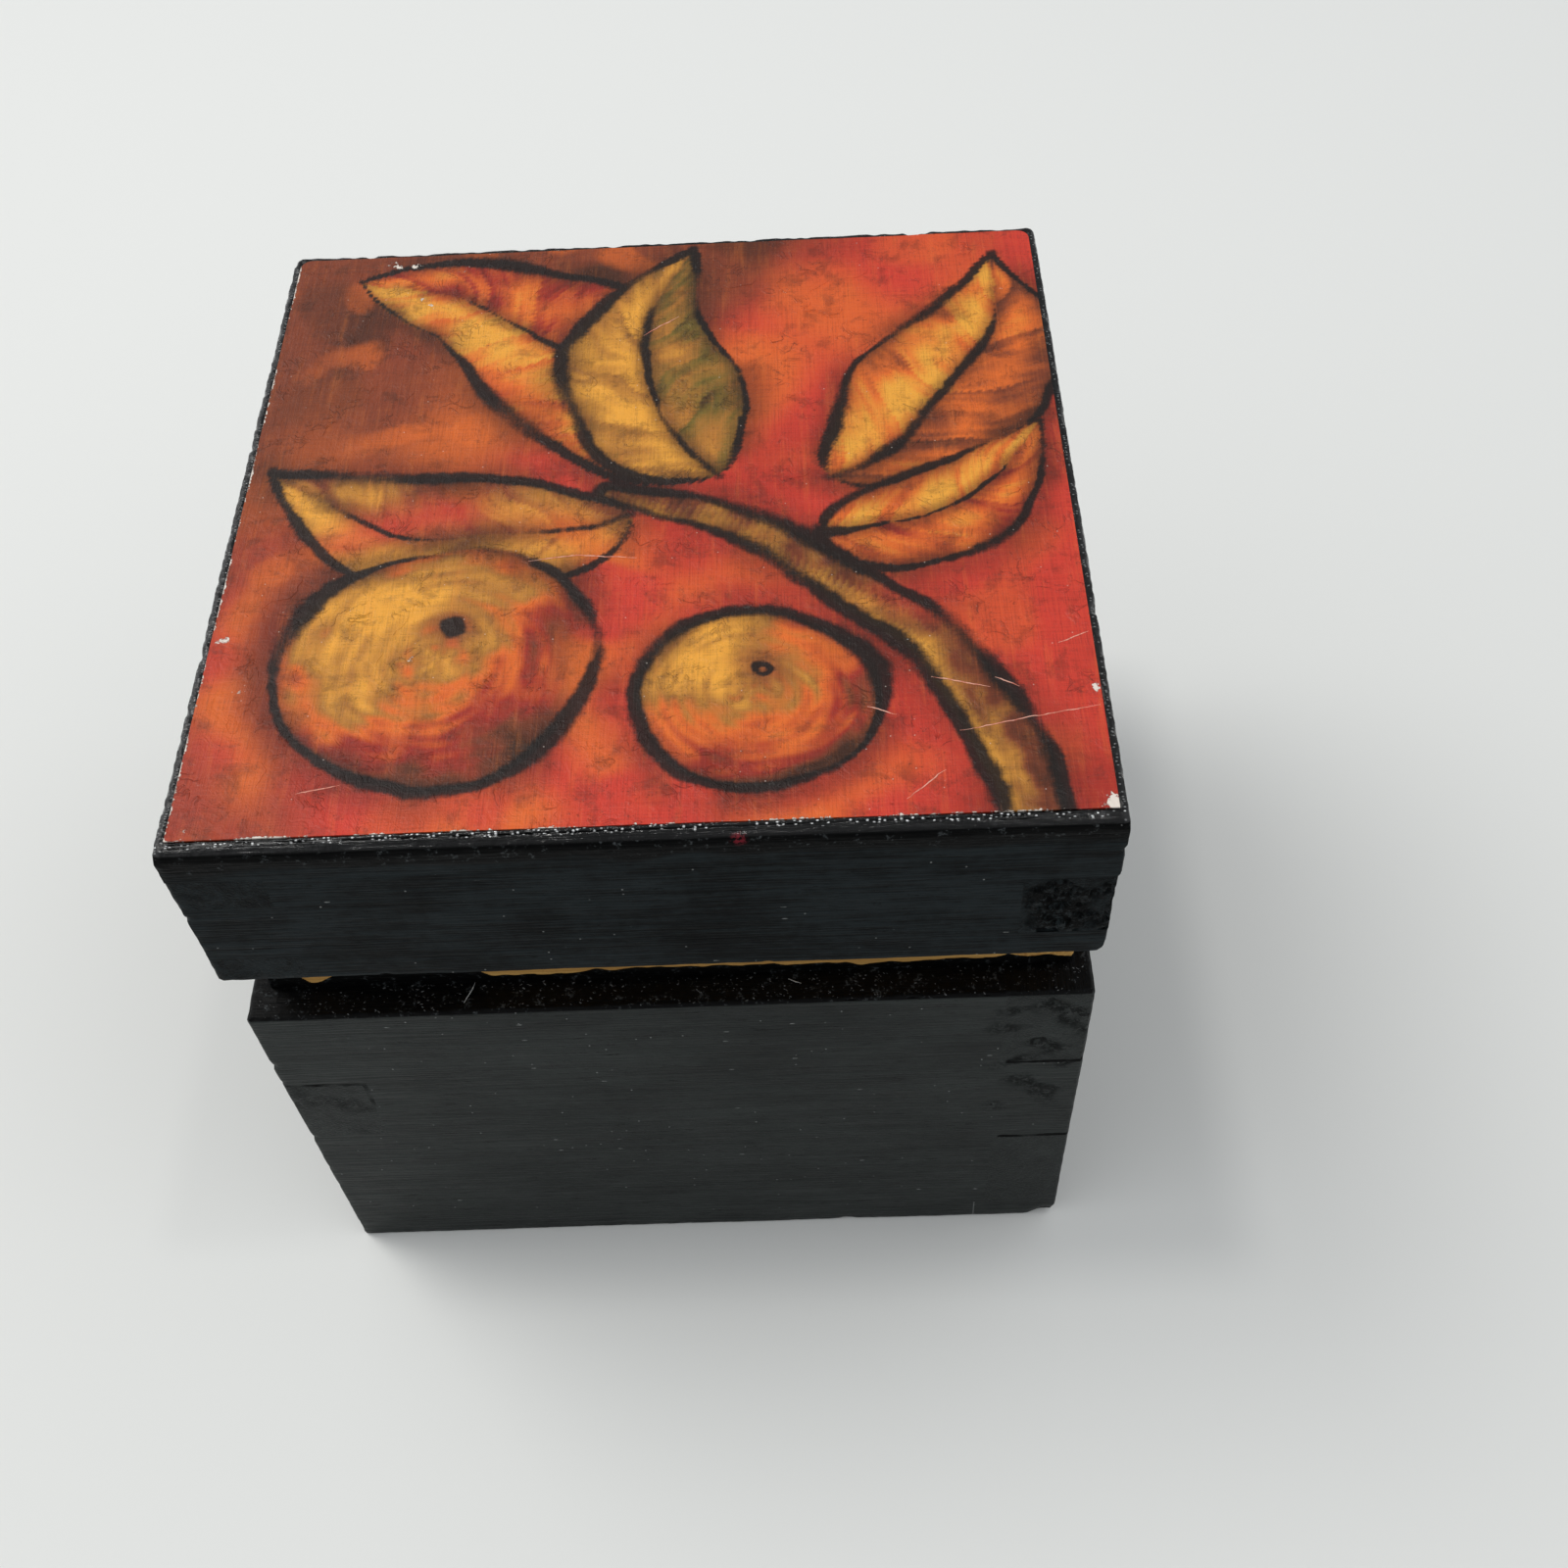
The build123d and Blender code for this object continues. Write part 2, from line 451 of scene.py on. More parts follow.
def bare_wood(node, points, normals):
    """1 where the wood was never painted, 0 under the paint, with a ragged line between."""
    ragged = 0.25 * MM * waves(points[:, :2], 8 * MM, 11) + 0.20 * MM * waves(points[:, :2], 1.6 * MM, 12)
    x, y, z = points.T
    if node.endswith("_board"):
        rise = HUMP_RISE * fade_out(np.abs(x - HUMP_MIDDLE), 5.0 * MM, 11.5 * MM)
        rise += LEFT_END_RISE * fade_out(x, -44.5 * MM, -42.0 * MM)
        rise += RIGHT_HALF_RISE * smooth(x, -22 * MM, 5 * MM)
        line = RIM + NECK_PAINT + ragged + rise * (y < 0)
        inside = within(points, BODY_HIGH, WALL - 0.35 * MM)
        return np.maximum(inside, smooth(z, line - 0.15 * MM, line + 0.15 * MM))
    if node == "body_floor_panel":
        return within(points, BODY_HIGH, WALL - 1 * MM) * (normals[:, 2] > 0.5)
    if node.endswith("_rail"):
        line = LID_LOW[2] + LIP_PAINT + 2 * ragged
        return within(points, LID_HIGH, SOCKET_WALL) * smooth(z, line - 0.3 * MM, line + 0.3 * MM)
    return within(points, LID_HIGH, WALL - 1 * MM) * (normals[:, 2] < -0.5)


def glossy_paint_and_ledge_shade(node, points, normals):
    """Up to 1 where thick paint dried with a gloss: rim, foot of the neck and the lid's upper edges. Its
    black on the rim and the neck's foot, under the lid, is also painted shade.
    """
    x, y, z = points.T
    if node.endswith("_board"):
        rim = (np.abs(z - RIM) < 0.5 * MM) * smooth(normals[:, 2], 0.25, 0.7)
        return 0.5 * np.maximum(rim, (z > RIM) * (z < RIM + 2.5 * MM))
    if node == "lid_top_panel":
        lower_end = 0.4 * MM * waves(points[:, :1], 7 * MM, 63)
        below_bead = 0.5 * smooth(z + lower_end, LID_HIGH[2] - 3.6 * MM, LID_HIGH[2] - 2.2 * MM)
        border = smooth(z, LID_HIGH[2] - 0.9 * MM, LID_HIGH[2] - 0.35 * MM)
        return np.maximum(below_bead * (y < LID_LOW[1] + 2 * MM), border)
    return np.zeros(len(points))


def painted_glints(node, points):
    """1 where painted highlights go as small bright dots on the thick paint in front of the sheet, less
    beside it.
    """
    x, y, z = points.T
    if node != "lid_top_panel":
        return np.zeros(len(points))
    wander = 0.12 * MM * waves(points[:, :1], 5 * MM, 66)
    row = fade_out(np.abs(y + wander - SHEET_LOW[1] + 0.45 * MM), 0.15 * MM, 0.50 * MM)
    beside = np.maximum(SHEET_LOW[0] - x, x - SHEET_HIGH[0]) > 0
    return (z > LID_HIGH[2] - 0.9 * MM) * np.maximum(row, 0.45 * beside)


def open_pores(node, points, normals):
    """Up to 1 on end grain in the front whose pores the paint didn't fill, most on the lid's right."""
    edge = 1.4 * MM * waves(points, 2.6 * MM, 61)
    in_front = smooth(-normals[:, 1], 0.6, 0.85)
    if node == "lid_right_rail":
        start = LID_HIGH[0] - WALL
        rough = smooth(points[:, 0] + edge, start, start + 2.4 * MM)
        rough *= smooth(waves(points, 3.2 * MM, 65), -1.4, -0.2)
        return in_front * rough * fade_out(points[:, 2] + edge, UPPER_TONGUE - 1.5 * MM, UPPER_TONGUE)
    rough = smooth(waves(points * (1, 1, 1.6), 3.5 * MM, 62), 0.0, 1.0)
    if node in ("body_right_board", "body_front_board"):
        upper_right = smooth(points[:, 0] + edge, 36 * MM, 42 * MM)
        upper_right *= smooth(points[:, 2] + edge, 30 * MM, 40 * MM)
        return 0.75 * in_front * rough * upper_right
    return 0.3 * in_front * rough * (node in ("body_left_board", "lid_left_rail"))


def surface_of(node):
    """The faces of a CAD node, ready for finding the nearest place on them."""
    mesh = frame["nodes"][node].data
    return BVHTree.FromPolygons([v.co for v in mesh.vertices], [tuple(p.vertices) for p in mesh.polygons])


def seam_distance(node, points, reach=0.8 * MM):
    """Distance of each point from the pieces glued to its board, no further than reach."""
    distance = np.full(len(points), reach)
    outside = np.linalg.norm(way_out(node, points), axis=1) > 0.5
    for other in WOODEN:
        low, high = (np.array(corner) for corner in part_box(other))
        near = outside & np.all(points > low - reach, axis=1) & np.all(points < high + reach, axis=1)
        if other == node or BODY_OF[other] != BODY_OF[node] or not near.any():
            continue
        surface = surface_of(other)
        for index in np.flatnonzero(near):
            found = surface.find_nearest(Vector(points[index]), distance[index])
            if found[3] is not None:
                distance[index] = found[3]
    return distance


def seam_strength(node, points):
    """How clearly the paint shows the joint below it: most on the level finger edges of the body,
    less at the front left, where a crack follows the joint's upper corner."""
    x, y, z = points.T
    if BODY_OF[node] == "lid":
        level = np.abs(z - UPPER_TONGUE) < 0.7 * MM
        base = 0.25 * (x > 0) * level
        return np.clip(base + 0.06 * waves(points, 5 * MM, 91), 0, 1)
    corner = BODY_HIGH - WALL + 0.6 * MM
    near_corner = (np.abs(x) > corner[0]) & (np.abs(y) > corner[1])
    front_left = (y < 0) & (x < 0)
    upper_left = smooth(z, 34 * MM, 42 * MM) * (z < 47 * MM)
    level = np.where(front_left, 0.08 + 0.42 * upper_left, 0.72)
    base = np.where(z < 8 * MM, 0.06, np.where(near_corner, level, 0.40 * front_left * upper_left))
    return np.clip(base + (0.04 + 0.40 * base) * waves(points, 2.6 * MM, 92), 0, 1)


def wooden_piece(node, material):
    """Detailed piece that stands for a board, a rail or a panel."""
    cell = {"board": BOARD_CELL, "_rail": RAIL_CELL, "panel": PANEL_CELL}[node[-5:]]
    mesh = fine_copy(node, cell)
    points, normals = points_of(mesh)
    wet = glossy_paint_and_ledge_shade(node, points, normals)
    pitted = open_pores(node, points, normals)
    spot = np.linalg.norm(points - np.array(RED_SPOT), axis=1)
    fields = {
        "grain": along_board(node, points),
        "end": end_grain(node, normals),
        "bare": bare_wood(node, points, normals),
        "wet": wet,
        "pitted": pitted,
        "painted_glints": painted_glints(node, points),
        "seam": seam_distance(node, points),
        "seam_strength": seam_strength(node, points),
        "red_spot": fade_out(spot, 0.4 * RED_SPOT_RADIUS, 1.6 * RED_SPOT_RADIUS),
    }
    for name, values in fields.items():
        add_field(mesh, name, values)
    move_points(mesh, worn(node, points, wet, pitted))
    mesh.set_sharp_from_angle(angle=SHARP_EDGE)
    shown_piece(node + "_wood", mesh, [material], BODY_OF[node], node)


# Materials

class Nodes:
    """A tree of nodes, with short ways to add and wire them."""

    def __init__(self, tree):
        self.tree = tree

    def wire(self, value, socket):
        if isinstance(value, bpy.types.NodeSocket):
            self.tree.links.new(value, socket)
        elif isinstance(value, tuple) and len(value) == 3 and socket.type == "RGBA":
            socket.default_value = (*value, 1)
        else:
            socket.default_value = value

    def add(self, kind, inputs, output=0, **settings):
        """A new node's output. Short kinds are shader nodes."""
        node = self.tree.nodes.new(kind if "Node" in kind else "ShaderNode" + kind)
        for name, value in settings.items():
            setattr(node, name, value)
        for key, value in inputs.items():
            self.wire(value, node.inputs[key])
        return node.outputs[output]

    def noise(self, vector, size, detail=3.0, roughness=0.55, distortion=0.0, output="Fac"):
        inputs = {"Vector": vector, "Scale": 1 / size, "Detail": detail, "Roughness": roughness}
        return self.add("TexNoise", {**inputs, "Distortion": distortion}, output)

    def ramp(self, value, start, end, low=0.0, high=1.0):
        inputs = {"Value": value, "From Min": start, "From Max": end, "To Min": low, "To Max": high}
        return self.add("MapRange", inputs, interpolation_type="SMOOTHSTEP")

    def calc(self, operation, first, second=1.0):
        return self.add("Math", {0: first, 1: second}, operation=operation)

    def times(self, first, second):
        return self.calc("MULTIPLY", first, second)

    def highest(self, first, second):
        return self.calc("MAXIMUM", first, second)

    def vectors(self, operation, first, second, output=0):
        return self.add("VectorMath", {0: first, 1: second}, output, operation=operation)


class Finish(Nodes):
    """A material."""

    def __init__(self, name):
        self.material = bpy.data.materials.new(name)
        self.material.use_nodes = True
        super().__init__(self.material.node_tree)
        self.shader = self.tree.nodes["Principled BSDF"]

    def set(self, **inputs):
        for name, value in inputs.items():
            self.wire(value, self.shader.inputs[name.replace("_", " ")])

    def field(self, name, output="Fac"):
        return self.add("Attribute", {}, output, attribute_name=name)

    def place(self):
        return self.add("TexCoord", {}, "Object")

    def stretched(self, vector, scale):
        return self.add("Mapping", {"Vector": vector, "Scale": scale})

    def streaks(self, vector, length, width, detail=4.0, roughness=0.6):
        scale = (1 / length, 1 / width, 1 / width)
        return self.noise(self.stretched(vector, scale), 1.0, detail, roughness)

    def specks(self, vector, spacing, size, share):
        """Small spots over the first two axes, in a share of the cells of a spacing. Along the third
        axis they are lines."""
        inputs = {"Vector": vector, "Scale": 1 / spacing}
        distance = self.add("TexVoronoi", inputs, "Distance", voronoi_dimensions="2D")
        colour = self.add("TexVoronoi", inputs, "Color", voronoi_dimensions="2D")
        pick = self.add("SeparateColor", {"Color": colour})
        spot = self.ramp(distance, size / spacing, 0.4 * size / spacing)
        return self.times(spot, self.ramp(pick, share, share - 0.03))

    def mix(self, factor, first, second):
        return self.add("Mix", {0: factor, 6: first, 7: second}, 2, data_type="RGBA")

    def blend(self, factor, first, second):
        return self.add("Mix", {0: factor, 2: first, 3: second}, 0, data_type="FLOAT")

    def total(self, *parts):
        """Sum of values, each given with its share."""
        result = self.times(*parts[0])
        for value, share in parts[1:]:
            result = self.calc("ADD", result, self.times(value, share))
        return result

    def bump(self, height, distance, normal=None):
        inputs = {"Height": height, "Distance": distance}
        if normal is not None:
            inputs["Normal"] = normal
        return self.add("Bump", inputs)


# Marks in the wood and its paint, by their length along the grain and their width across it
BRUSH_MARK = (10 * MM, 0.34 * MM)
BROAD_MARK = (24 * MM, 1.1 * MM)
PAINT_PATCH = (16 * MM, 7 * MM)
GRAIN_DENT = (3.0 * MM, 0.5 * MM)
YEAR_RING = (45 * MM, 0.8 * MM)

# Distances from a joint at which its dark line begins and at which it is full
JOINT_LINE_FAINT = 0.48 * MM
JOINT_LINE_FULL = 0.20 * MM


def painted_wood(name, black, streak_colour, spread, specular):
    """Black brushed paint over wood grain, and bare ochre wood where the paint stops. A wide spread
    makes the streaks faint."""
    f = Finish(name)
    grain = f.field("grain", "Vector")
    bare, end, wet, pitted = f.field("bare"), f.field("end"), f.field("wet"), f.field("pitted")
    fine = f.streaks(grain, *BRUSH_MARK, 3, 0.65)
    broad = f.streaks(grain, *BROAD_MARK, 3, 0.55)
    patches = f.streaks(grain, *PAINT_PATCH, 5, 0.65)
    lumps = f.noise(grain, 1.3 * MM, 3, 0.6)
    pits = f.noise(grain, 0.42 * MM, 3, 0.7)
    mottled = f.total((lumps, 0.5), (pits, 0.5))
    unsteady = f.calc("SUBTRACT", lumps, 0.5)
    # Paint, streaked by the brush and by the grain under it
    tone = f.total((fine, 1.0), (broad, 0.5), (patches, 0.9), (lumps, 0.3))
    paint = f.mix(f.ramp(tone, 1.35 - spread, 1.35 + spread), black, streak_colour)
    dent = f.total((f.streaks(grain, *GRAIN_DENT, 2), 0.75), (pits, 0.45))
    paint = f.mix(f.ramp(dent, 0.68, 0.80, 0.0, 0.85), paint, PITCH_BLACK)
    # Joints that show through as dark broken lines
    gap = f.calc("ADD", f.field("seam"), f.times(unsteady, 0.5 * MM))
    clear = f.times(f.ramp(gap, JOINT_LINE_FAINT, JOINT_LINE_FULL), f.field("seam_strength"))
    seam = f.ramp(f.times(clear, f.ramp(patches, 0.38, 0.58, 0.55, 1.0)), 0.10, 0.60)
    paint = f.mix(seam, paint, PITCH_BLACK)
    # Dust and small scratches, none on end grain or thick paint
    dust = f.specks(grain, spacing=1.9 * MM, size=0.15 * MM, share=0.10)
    dash = f.specks(f.stretched(grain, (0.3, 1.0, 1.0)), spacing=2.4 * MM, size=0.13 * MM, share=0.07)
    dust = f.times(f.highest(dust, dash), f.ramp(f.highest(end, wet), 0.45, 0.25))
    paint = f.mix(f.times(dust, f.ramp(pits, 0.3, 0.7, 0.10, 0.70)), paint, DUST)
    # Thick paint and open pores are blacker, and some of the thick paint has dried paler. On the rim and
    # the neck's foot, under the lid, this black is also painted shade
    pores = f.times(pitted, f.ramp(mottled, 0.43, 0.52))
    paint = f.mix(f.highest(f.ramp(wet, 0.0, 0.45), pores), paint, PITCH_BLACK)
    dried = f.times(f.ramp(wet, 0.2, 0.5), f.ramp(mottled, 0.55, 0.66))
    paint = f.mix(f.times(dried, f.ramp(wet, 0.9, 0.6, 0.0, 0.8)), paint, DRIED_PAINT)
    # A spot of red, and painted highlights as bright dots on the thick paint in front of the sheet
    paint = f.mix(f.times(f.field("red_spot"), f.ramp(pits, 0.45, 0.55)), paint, RED_PAINT)
    dots = f.specks(f.stretched(grain, (0.6, 1.0, 1.0)), spacing=0.34 * MM, size=0.11 * MM, share=0.42)
    paint = f.mix(f.times(dots, f.ramp(f.field("painted_glints"), 0.25, 0.9, 0.0, 0.9)), paint, PAINTED_GLINT)
    # Bare wood
    rings = f.streaks(grain, *YEAR_RING)
    wood = f.mix(f.ramp(rings, 0.36, 0.66), BARE_WOOD, WOOD_LATE)
    wood = f.mix(f.ramp(pits, 0.60, 0.72, 0.0, 0.5), wood, WOOD_PORE)
    is_bare = f.ramp(f.calc("ADD", bare, f.times(unsteady, 0.5)), 0.44, 0.56)
    f.set(Base_Color=f.mix(is_bare, paint, wood))
    satin = f.blend(f.highest(seam, pores), f.ramp(fine, 0.3, 0.7, 0.36, 0.58), 0.95)
    f.set(Roughness=f.blend(is_bare, satin, 0.62), Specular_IOR_Level=specular)
    # Relief, and a clear gloss on the thickest paint
    brushed = f.total((fine, 0.8), (broad, 0.4), (lumps, 0.3), (seam, -0.45), (dust, 0.25))
    rough = f.times(f.total((pits, 0.2), (lumps, 1.0)), f.highest(f.times(wet, 0.28), f.times(pitted, 0.7)))
    relief = f.bump(rough, 0.36 * MM, f.bump(brushed, 0.15 * MM))
    gloss = f.highest(f.ramp(wet, 0.5, 1.0, 0.03, 0.85), f.times(pitted, 0.06))
    gloss = f.times(gloss, f.ramp(f.highest(wet, pitted), 0.0, 0.3))
    gloss = f.times(gloss, f.ramp(is_bare, 0.6, 0.4))
    f.set(Normal=relief, Coat_Normal=relief, Coat_Weight=gloss, Coat_Roughness=0.07)
    return f.material


def picture_finish():
    """Printed paper under semi-gloss varnish: the washes and dark outlines that the sheet carries."""
    f = Finish("varnished_picture")
    place = f.place()
    wash, ink, chip = f.field("wash", "Color"), f.field("ink"), f.field("chip")
    sideways = f.add("Mapping", {"Vector": place, "Rotation": (0, 0, math.pi / 2)})
    upright = f.streaks(sideways, 6.0 * MM, 0.20 * MM)
    level = f.streaks(place, 5.0 * MM, 0.20 * MM)
    grit = f.noise(place, 0.36 * MM, 4, 0.7)
    blot = f.noise(place, 3.4 * MM, 5, 0.68, 0.4)
    drags = f.streaks(sideways, 10.0 * MM, 1.6 * MM, 5, 0.6)
    weave = f.total((upright, 0.6), (level, 0.4))
    # Thin washes over each other, darker where the canvas grain holds the colour
    lighter = f.mix(0.45, wash, LIGHT_WASH)
    darker = f.mix(0.75, wash, DARK_WASH_AND_CREASE_SHADE)
    colour = f.mix(f.ramp(drags, 0.52, 0.72, 0.0, 0.25), wash, lighter)
    colour = f.mix(f.ramp(blot, 0.50, 0.68, 0.0, 0.50), colour, darker)
    colour = f.mix(f.ramp(weave, 0.50, 0.62, 0.0, 0.32), colour, darker)
    colour = f.mix(f.ramp(weave, 0.47, 0.36, 0.0, 0.18), colour, lighter)
    speck = f.times(f.ramp(grit, 0.58, 0.68), f.ramp(blot, 0.40, 0.6))
    colour = f.mix(f.times(speck, 0.55), colour, DARK_WASH_AND_CREASE_SHADE)
    # Dark outlines, as if rubbed on with dry colour
    rubbed = f.calc("SUBTRACT", f.total((grit, 0.5), (blot, 0.25), (weave, 0.45)), 0.6)
    dry = f.ramp(f.calc("ADD", ink, f.times(rubbed, 0.9)), 0.20, 0.80, 0.0, 0.96)
    colour = f.mix(dry, colour, INK)
    # Thick varnish in wriggling creases, darkened a little as painted shade, and pale dots of dust
    swirl = f.calc("ABSOLUTE", f.calc("SUBTRACT", f.noise(place, 3.2 * MM, 3, 0.5, 1.4), 0.5))
    crease = f.times(f.ramp(swirl, 0.040, 0.010), f.ramp(f.noise(place, 5 * MM, 3), 0.55, 0.64))
    colour = f.mix(f.times(crease, 0.16), colour, DARK_WASH_AND_CREASE_SHADE)
    dust = f.specks(place, spacing=2.6 * MM, size=0.10 * MM, share=0.12)
    colour = f.mix(f.times(dust, 0.5), colour, PAPER)
    # Chips that bare the paper
    torn = f.total((grit, 0.5), (f.noise(place, 0.9 * MM, 3), 0.5))
    ragged = f.times(f.calc("SUBTRACT", torn, 0.5), 3.2)
    bared = f.ramp(f.calc("ADD", chip, ragged), 0.50, 0.62)
    f.set(Base_Color=f.mix(f.times(bared, f.ramp(chip, 0.05, 0.15)), colour, PAPER))
    f.set(Roughness=f.ramp(grit, 0.3, 0.7, 0.34, 0.50), Specular_IOR_Level=0.18)
    ridges = f.noise(place, 2.2 * MM, 5, 0.62, 1.4)
    height = f.total((ridges, 0.7), (weave, 0.3), (grit, 0.15), (crease, 0.42), (bared, -0.3))
    relief = f.bump(height, 0.28 * MM)
    f.set(Normal=relief, Coat_Normal=relief, Coat_Weight=0.16, Coat_Roughness=0.10)
    return f.material


def plain_finish(name, colour, dirt_colour, dirt_size, roughness):
    """A simple surface with blotches of dirt."""
    f = Finish(name)
    dirt = f.noise(f.place(), dirt_size, 4, 0.7)
    f.set(Base_Color=f.mix(f.ramp(dirt, 0.42, 0.62), colour, dirt_colour), Roughness=roughness)
    return f.material


# The picture: leaves on a bent branch and two round fruits. Its own millimetres start at the
# sheet's middle, with the first axis to the right and the second to the back.

LINE_STEPS = 90


def nearest_on(line, spots):
    """The index of the nearest point of a line for each spot, and the way from there to the spot."""
    gaps = spots[:, None, :] - line[None]
    near = np.argmin((gaps ** 2).sum(axis=2), axis=1)
    return near, gaps[np.arange(len(spots)), near]


class Leaf:
    """A leaf from its foot to its tip. bow bends its rib sideways, and half_width is its widest."""

    def __init__(self, foot, tip, bow, half_width, light, middle, dark):
        foot, tip = np.array(foot, float), np.array(tip, float)
        along = tip - foot
        self.length = np.linalg.norm(along)
        side = np.array((-along[1], along[0])) / self.length
        self.t = np.linspace(0, 1, LINE_STEPS)
        t = self.t[:, None]
        bend = (foot + tip) / 2 + side * bow * 2
        self.rib = foot * (1 - t) ** 2 + bend * 2 * t * (1 - t) + tip * t ** 2
        self.half_width = half_width
        self.light, self.middle, self.dark = light, middle, dark

    def across(self, spots):
        """For each spot, its place along the rib and its signed distance from it."""
        near, gap = nearest_on(self.rib, spots)
        step = np.gradient(self.rib, axis=0)[near]
        side = np.sign(step[:, 0] * gap[:, 1] - step[:, 1] * gap[:, 0])
        return self.t[near], side * np.linalg.norm(gap, axis=1)

    def width_at(self, t):
        return self.half_width * np.sin(math.pi * t ** 0.75) ** 0.8


class Picture:
    """The picture as it is built up: a colour and an amount of dark outline for each spot."""

    def __init__(self, spots):
        wander = np.stack([waves(spots, 14, 41), waves(spots, 14, 42)], axis=1) * 0.8
        wobble = np.stack([waves(spots, 4, 43), waves(spots, 4, 44)], axis=1) * 0.12
        self.plain_spots = spots
        self.spots = spots + wander + wobble
        self.stroke = np.clip(1.0 + 0.50 * waves(spots, 13, 45), 0.40, 1.9)
        self.press = np.clip(0.92 + 0.30 * waves(spots, 9, 46), 0.40, 1.0)
        self.fray = 0.08 * waves(spots, 1.3, 47) + 0.05 * waves(spots, 0.8, 48)
        self.wash = np.tile(RED, (len(spots), 1))
        self.ink = np.zeros(len(spots))
        self.seed = 100

    def patch(self, size):
        """A new random field with patches of a size."""
        self.seed += 1
        return waves(self.plain_spots, size, self.seed)

    def strokes(self, along, across):
        """Marks of a brush, 7 mm long and 0.9 mm wide, for places along and across its way."""
        self.seed += 1
        return waves(np.stack((along / 7, across / 0.9), axis=1), 1.0, self.seed)

    def tint(self, factor, colour):
        """Lays a thin wash over what is there."""
        self.wash = blend(np.clip(factor, 0, 1), self.wash, colour)

    def shape(self, distance, colours, shadow=0.75, line=0.9):
        """Lays a shape over what is there: distance is below 0 inside it."""
        inside = fade_out(distance, -0.3, 0.3)
        self.tint(0.85 * shadow * fade_out(distance, 0.2, 5.5) * smooth(self.patch(8), -1.5, 0.4), UMBER)
        self.wash = blend(inside, self.wash, colours)
        self.ink *= 1 - inside
        self.tint(shadow * inside * smooth(distance, -2.2, 0.4), UMBER)
        broken_rim = inside * smooth(distance, -5.5, 0.2) * smooth(self.patch(6), -1.0, 0.9)
        self.tint(0.8 * shadow * broken_rim, UMBER)
        self.line(np.abs(distance), line)

    def line(self, distance, width):
        """A soft dark outline along the places where distance is 0."""
        half = width * self.stroke
        self.ink = np.maximum(self.ink, self.press * fade_out(distance + self.fray, 0.1 * half, 1.8 * half))


LEAVES = [
    Leaf((2, 2), (-40, 43), -9, 13.0, YELLOW, ORANGE, DEEP_RED),
    Leaf((22, 2), (44, 44), -6, 12.0, YELLOW, ORANGE, BROWN),
    Leaf((8, 2), (3, 47), 7, 10.5, YELLOW, OCHRE, OLIVE),
    Leaf((20, -8), (47, 10), -5, 8.0, YELLOW, ORANGE, DEEP_RED),
    Leaf((-2, -3), (-47, 7), 7, 9.5, YELLOW, OCHRE, BROWN),
]
FRUITS = [((-23, -25), 17.5, YELLOW, ORANGE, DEEP_RED), ((12, -31), 13.0, YELLOW, ORANGE, DEEP_RED)]
BRANCH = [(41, -54), (40, -24), (20, -9), (-5, 1)]
LIGHT_IN_PICTURE = (-0.45, 0.50, 0.74)


def paint_ground(picture):
    """Washes behind the shapes: red at the front right, brown at the back left, orange between."""
    u, v = picture.plain_spots.T
    picture.tint(0.50 * smooth(picture.patch(15), 0.0, 1.1), DEEP_RED)
    picture.tint(0.30 * smooth(picture.patch(10), 0.3, 1.2), ORANGE)
    back_left = smooth(0.024 * v - 0.022 * u + 0.35 * picture.patch(18), 0.25, 1.15)
    picture.tint(0.95 * back_left, BROWN)
    picture.tint(0.8 * back_left * smooth(picture.patch(9), 0.1, 1.1), UMBER)
    picture.tint(0.5 * back_left * smooth(picture.patch(6), 0.5, 1.2), ORANGE)
    middle_band = fade_out(np.abs(v - 20 - 0.25 * u + 5 * picture.patch(20)), 4, 20)
    picture.tint(0.65 * middle_band * smooth(picture.patch(12), -0.9, 0.8), ORANGE)
    corner = smooth(u - 1.1 * v + 6 * picture.patch(10), 72, 96)
    picture.tint(0.65 * corner, DEEP_RED)
    left = fade_out(u + 6 * picture.patch(14), -49, -34)
    picture.tint(0.6 * left, BROWN)


def paint_fruit(picture, centre, radius, light, middle, dark):
    """A round fruit, lit from the upper left, with a glow on the ground around it."""
    offset = (picture.spots - np.array(centre, float)) / radius
    distance = (np.linalg.norm(offset, axis=1) - 1) * radius
    glow = np.exp(-(((distance - 6.0) / 3.4) ** 2)) * smooth(picture.patch(16), -0.7, 0.4)
    glow_colour = blend(smooth(picture.patch(9), -0.3, 0.9), np.tile(ORANGE, (len(distance), 1)), RED)
    picture.tint(0.75 * glow, glow_colour)
    height = np.sqrt(np.clip(1 - (offset ** 2).sum(axis=1), 0, 1))
    lit = np.column_stack((offset, height)) @ np.array(LIGHT_IN_PICTURE)
    turn = np.arctan2(offset[:, 1], offset[:, 0]) * radius * 0.8
    tone = 0.66 - 0.62 * lit + 0.08 * picture.patch(6) + 0.05 * picture.patch(2.5)
    tone += 0.06 * picture.strokes(turn, distance)
    steps = ((0.0, light), (0.22, OCHRE), (0.36, middle), (0.56, dark), (0.74, BROWN), (0.92, UMBER))
    picture.shape(distance, shades(tone, *steps), shadow=0.75, line=1.0)
    hollow = np.linalg.norm(offset - (0.10, 0.28), axis=1) * radius
    picture.tint(0.80 * fade_out(hollow, 0.5, 5.0), BROWN)
    picture.line(np.abs(hollow - 0.8), 0.55)


